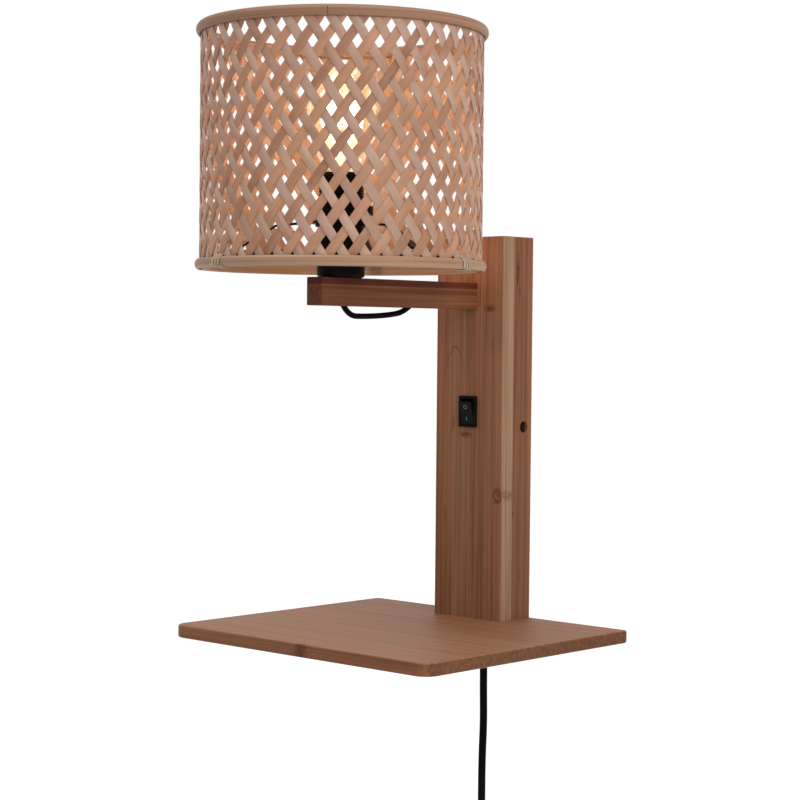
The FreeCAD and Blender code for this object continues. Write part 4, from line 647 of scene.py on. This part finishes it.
def ribbed_boot():
    """The strain relief under the shelf, turned about the cord. Its outline tapers from 5 to 3.4 mm and
    has seven grooves: the radius drops by 0.7 mm where cos of the height is low."""
    low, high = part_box("cord_boot")
    top, tip, shelf = high.z, low.z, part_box("shelf_board")[0].z
    flange = shelf - 0.002
    heights = np.linspace(flange, tip, 71)
    run = (flange - heights) / (flange - tip)
    ribs = 0.5 + 0.5 * np.cos(2 * math.pi * 7 * run)
    radius = 0.0050 - 0.0016 * run - 0.0007 * (1 - ribs) ** 3 * (run > 0.06) * (run < 0.97)
    bore = CORD_DIAMETER / 2 + 0.0001
    outline = [(bore, top), (0.0049, top), (0.0049, shelf + 0.0002), (0.0050, shelf), (0.0063, shelf),
               (0.0065, shelf - 0.0003), (0.0065, flange + 0.0004), (0.0062, flange)]
    outline += list(zip(radius, heights)) + [(bore + 0.0002, tip), (bore, tip + 0.0003)]
    points, faces = bars(turned(outline, (CORD_X, CORD_Y), 40), True)
    made = piece("ribbed_boot", points, faces, "lamp", cord_black)
    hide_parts("cord_boot")
    return made


flex = mains_cord()
boot = ribbed_boot()


# ---------------------------------------------------------------- shade

shade_low, shade_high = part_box("bottom_outer_hoop")[0].z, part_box("top_outer_hoop")[1].z
HOOP_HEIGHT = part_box("bottom_outer_hoop")[1].z - shade_low
PITCH = 2 * math.pi / STRIP_COUNT


def weave_strips(hand, seed):
    """Strips that lean one way, each passing over and under the others in turn. A strip's middle climbs at
    its slope: angle = start + hand * height / (R tan slope). Its radius is R + hand * lift * wave(w), where w
    counts the strips crossed and wave(w) = tanh(2.6 cos(pi w)) / tanh(2.6). Its flat section lies across."""
    random = np.random.default_rng(seed)
    slope = math.radians(STRIP_SLOPES[hand])
    turn = {side: 1 / (WEAVE_MIDDLE * math.tan(math.radians(STRIP_SLOPES[side]))) for side in (1, -1)}
    low, high = shade_low + 0.0026, shade_high - 0.0026
    row = shade_low + HOOP_HEIGHT + FIRST_ROW_ABOVE_HOOP
    height = np.linspace(low, high, 125)[None, :, None]
    crossed = (turn[1] + turn[-1]) * (height - row) / PITCH
    wave = np.tanh(2.6 * np.cos(math.pi * crossed)) / math.tanh(2.6)
    index = np.arange(STRIP_COUNT)[:, None, None]
    drift = random.normal(0, 0.0030, (STRIP_COUNT, 1, 1)) * np.sin(
        height * random.uniform(12, 30, (STRIP_COUNT, 1, 1)) + random.uniform(0, 6, (STRIP_COUNT, 1, 1)))
    middle = FIRST_OPENING + (index + 0.5) * PITCH + hand * turn[hand] * (height - row) + drift
    width = STRIP_WIDTH * random.normal(1.0, 0.035, (STRIP_COUNT, 1, 1))
    side = np.array([-0.5, -0.455, 0.455, 0.5, 0.5, 0.455, -0.455, -0.5])[None, None, :]
    thick = np.array([0.35, 1.0, 1.0, 0.35, -0.35, -1.0, -1.0, -0.35])[None, None, :]
    across = side * width
    radius = WEAVE_MIDDLE + hand * STRIP_LIFT * wave + STRIP_HALF_THICK * thick
    angle = middle - hand * across * math.sin(slope) / WEAVE_MIDDLE
    z = height + across * math.cos(slope)
    x, y = radius * np.cos(angle), HOLDER_Y + radius * np.sin(angle)
    along = (height - low) / math.sin(slope) + 0.0 * angle
    tone = random.uniform(0, 1, (STRIP_COUNT, 1, 1)) + 0.0 * angle
    fibre = np.stack(np.broadcast_arrays(along, across + 0.0 * angle, tone), -1).reshape(-1, 3)
    return bars(np.stack(np.broadcast_arrays(x, y, z), -1), False) + (fibre,)


for hand, label, finish in ((1, "strips_rising_right", strips_warm), (-1, "strips_rising_left", strips_pale)):
    points, faces, fibre = weave_strips(hand, 40 + hand)
    strips = piece(label, points, faces, "shade", finish, fibre, 50.0)
    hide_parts("shade_weave")


def cane_wraps():
    """Cane wound three times round both bottom hoops and the wire, in three places. The winding follows a
    rounded outline in the upright plane through the axis; each turn moves on sideways, more on the
    hoops' outer side than where the cane goes through the weave."""
    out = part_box("bottom_outer_hoop")[1].x + 0.0002
    wire_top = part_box("hoop_bindings")[1].z - 0.0008
    inner, low, top = 0.0872, shade_low - 0.0002, shade_low + HOOP_HEIGHT + 0.0002
    corners = np.array([(out, low + 0.001), (out + 0.0001, top - 0.0022), (0.0940, top),
                        (0.0922, top + 0.0006), (0.0911, wire_top - 0.0006), (0.0900, wire_top),
                        (inner + 0.0008, wire_top), (inner, wire_top - 0.001),
                        (inner + 0.0004, low + 0.0012), (0.0886, low), (out - 0.0014, low)])
    ring = np.concatenate([corners, corners[:1]])
    gone = np.concatenate([[0], np.cumsum(np.linalg.norm(np.diff(ring, axis=0), axis=1))])
    steps, turns = 72, CANE_TURNS
    at = np.linspace(0, turns, turns * steps + 1)
    outline = np.stack([np.interp(at % 1 * gone[-1], gone, ring[:, k]) for k in (0, 1)], -1)
    ahead = np.stack([np.interp((at + 0.01) % 1 * gone[-1], gone, ring[:, k]) for k in (0, 1)], -1)
    behind = np.stack([np.interp((at - 0.01) % 1 * gone[-1], gone, ring[:, k]) for k in (0, 1)], -1)
    outline = (outline * 2 + ahead + behind) / 4
    heading = ahead - behind
    heading /= np.linalg.norm(heading, axis=1)[:, None]
    normal = np.stack([heading[:, 1], -heading[:, 0]], -1)
    outer_side = np.clip((outline[:, 0] - 0.0925) / 0.0025, 0, 1)
    sideways = (at - turns / 2) * (0.0019 + 0.0012 * outer_side)
    side = np.array([-1.0, -0.8, 0.0, 0.8, 1.0, 0.0]) * CANE_HALF_WIDTH
    thick = np.array([0.05, 0.6, 0.8, 0.6, 0.05, 0.0]) * 0.001
    flat = outline[:, None, :] + normal[:, None, :] * thick[None, :, None]
    lateral = sideways[:, None] + side[None, :]
    angles = FIRST_WRAP + PITCH * np.array(BOUND_OPENINGS)[:, None, None]
    x = flat[None, :, :, 0] * np.cos(angles) - lateral[None] * np.sin(angles)
    y = HOLDER_Y + flat[None, :, :, 0] * np.sin(angles) + lateral[None] * np.cos(angles)
    z = flat[None, :, :, 1] + 0 * x
    along = (at * gone[-1])[None, :, None] + 0 * x
    fibre = np.stack([along, side[None, None, :] + 0 * x, 0.8 + 0 * x], -1).reshape(-1, 3)
    return bars(np.stack([x, y, z], -1), False) + (fibre,)


points, faces, fibre = cane_wraps()
wraps = piece("cane_wraps", points, faces, "shade", cane, fibre, 60.0)
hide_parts("hoop_bindings")


# ---------------------------------------------------------------- lamp holder


def threaded_skirt():
    """The holder's skirt. Its outline is turned about the axis, and above the collar the radius carries a
    rounded thread: R - 0.7 mm * (0.5 - 0.5 cos(2 pi (height / pitch - angle / 2 pi)))."""
    low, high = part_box("holder_skirt")
    ring_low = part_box("shade_carrier")[1].z
    collar_top = ring_low - 0.0015
    outer, inner, spigot = SKIRT_RADIUS, SKIRT_BORE, 0.01355
    cup_top = low.z + 0.006
    thread = np.linspace(collar_top + 0.0002, high.z - 0.0006, 130)
    lower = [(inner, low.z), (spigot, low.z), (spigot, cup_top), (outer, cup_top + 0.0001),
             (outer, collar_top - 0.002), (0.0167, collar_top - 0.002), (0.0170, collar_top - 0.0017), (0.0170, collar_top - 0.0003),
             (0.0167, collar_top), (outer + 0.0001, collar_top)]
    upper = [(outer - 0.0008, high.z), (inner, high.z)]
    outline = np.array(lower + [(outer, z) for z in thread] + upper)
    shape = turned(outline, (0.0, HOLDER_Y), 96)
    angle = np.linspace(0, 2 * math.pi, 96, endpoint=False)[:, None]
    phase = outline[None, :, 1] / THREAD_PITCH - angle / (2 * math.pi)
    here = ((outline[:, 1] > collar_top + 0.0001) & (outline[:, 0] > outer - 0.0001)
            & (outline[:, 1] < high.z - 0.0004))
    drop = THREAD_DEPTH * (0.5 - 0.5 * np.cos(2 * math.pi * phase)) * here[None, :]
    shrink = 1 - drop / outline[None, :, 0]
    shape[0, :, :, 0] *= shrink
    shape[0, :, :, 1] = HOLDER_Y + (shape[0, :, :, 1] - HOLDER_Y) * shrink
    points, faces = bars(shape, True)
    made = piece("threaded_skirt", points, faces, "lamp", black_satin, sharp=55.0)
    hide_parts("holder_skirt")


threaded_skirt()


# ---------------------------------------------------------------- switch marks


def switch_marks():
    """A ring above a bar in raised paint. Each is an upright band: its outer line is carried to its inner
    line and both stand 0.1 mm proud of the rocker's dish, whose front is 4.1 + 0.9 (u / 7.9)^2 mm before its pin
    at the height u. The whole is turned 12 degrees about the pin."""
    round_trip = np.linspace(0, 2 * math.pi, 40, endpoint=False)
    ring = [np.stack([a * np.cos(round_trip), 0.00413 + b * np.sin(round_trip)], -1)
            for a, b in ((0.0018, 0.00160), (0.00118, 0.00100))]
    corner = np.sign(np.cos(round_trip)), np.sign(np.sin(round_trip))
    bar = [np.stack([-0.0002 + a * corner[0] + 0.25 * a * np.cos(round_trip),
                     -0.00416 + b * corner[1] + 0.1 * b * np.sin(round_trip)], -1)
           for a, b in ((0.00028, 0.00130), (0.00001, 0.00004))]
    shapes = []
    for outer, inner in (ring, bar):
        band = ((outer, -0.0001), (outer, 0.00010), (inner, 0.00010), (inner, -0.0001))
        shapes.append(np.stack([np.concatenate([line, np.full((40, 1), proud)], 1)
                                for line, proud in band], 1))
    flat = np.stack(shapes)
    u = flat[..., 1]
    front = 0.0041 + 0.0009 * (u / 0.0079) ** 2 + flat[..., 2]
    y = ROCKER_PIN[0] - front * math.cos(ROCKER_REST) - u * math.sin(ROCKER_REST)
    z = ROCKER_PIN[1] - front * math.sin(ROCKER_REST) + u * math.cos(ROCKER_REST)
    points, faces = bars(np.stack([flat[..., 0], y, z], -1), True)
    return piece("switch_marks", points, faces, "rocker", mark_paint)


switch_marks()


# ---------------------------------------------------------------- stage and light


def add_stage():
    """A pale floor under the lamp. It shows white to the camera and keeps a soft shadow."""
    mesh = bpy.data.meshes.new("floor")
    corners = [(x, y, FLOOR_HEIGHT) for x, y in ((-6, -6), (6, -6), (6, 6), (-6, 6))]
    mesh.from_pydata(corners, [], [(0, 1, 2, 3)])
    floor = bpy.data.objects.new("floor", mesh)
    bpy.context.scene.collection.objects.link(floor)
    material, tree = empty_material("pale floor")
    glow = tree.math("MULTIPLY", seen_white(tree), FLOOR_LEVEL)
    shader = tree.add("BsdfPrincipled", {"Base Color": (0.86, 0.86, 0.86, 1.0), "Roughness": 0.9,
                                         "Emission Color": WHITE, "Emission Strength": glow})
    tree.add("OutputMaterial", {"Surface": shader.outputs[0]})
    mesh.materials.append(material)


def add_world(level):
    """An even pale sky that the camera, gloss and glass see as white."""
    world = bpy.data.worlds.new("studio")
    bpy.context.scene.world = world
    world.use_nodes = True
    world.node_tree.nodes.clear()
    tree = Tree(world.node_tree)
    strength = tree.span(seen_white(tree), 0.0, 1.0, level, 1.0)
    sky = tree.add("Background", {"Color": WHITE, "Strength": strength})
    tree.add("OutputWorld", {"Surface": sky.outputs[0]})


def add_lamp(name, kind, place, energy, colour=(1.0, 1.0, 1.0), size=0.1, target=None):
    data = bpy.data.lights.new(name, kind)
    data.energy, data.color = energy, colour
    if kind == "AREA":
        data.shape, data.size = "DISK", size
    else:
        data.shadow_soft_size = size
    lamp = bpy.data.objects.new(name, data)
    lamp.location = place
    if target is not None:
        lamp.rotation_euler = (Vector(place) - Vector(target)).to_track_quat("Z", "Y").to_euler()
    bpy.context.scene.collection.objects.link(lamp)


add_stage()
add_world(SKY_LEVEL)
add_lamp("window", "AREA", (1.75, -0.60, 0.85), 16.5, size=1.3, target=(0, -0.1, 0))
add_lamp("ceiling", "AREA", (-0.2, -0.7, 1.9), 13.0, size=1.6, target=(0, -0.1, 0))
add_lamp("bulb glow", "POINT", (0, HOLDER_Y, 0.205), 0.26, (1.0, 0.72, 0.44), 0.018)
add_lamp("glow on the post", "POINT", (0.004, -0.062, 0.122), 0.022, (1.0, 0.52, 0.45), 0.008)
nodes["bulb_glass"].visible_shadow = False

scene = bpy.context.scene
scene.view_settings.view_transform = "Standard"
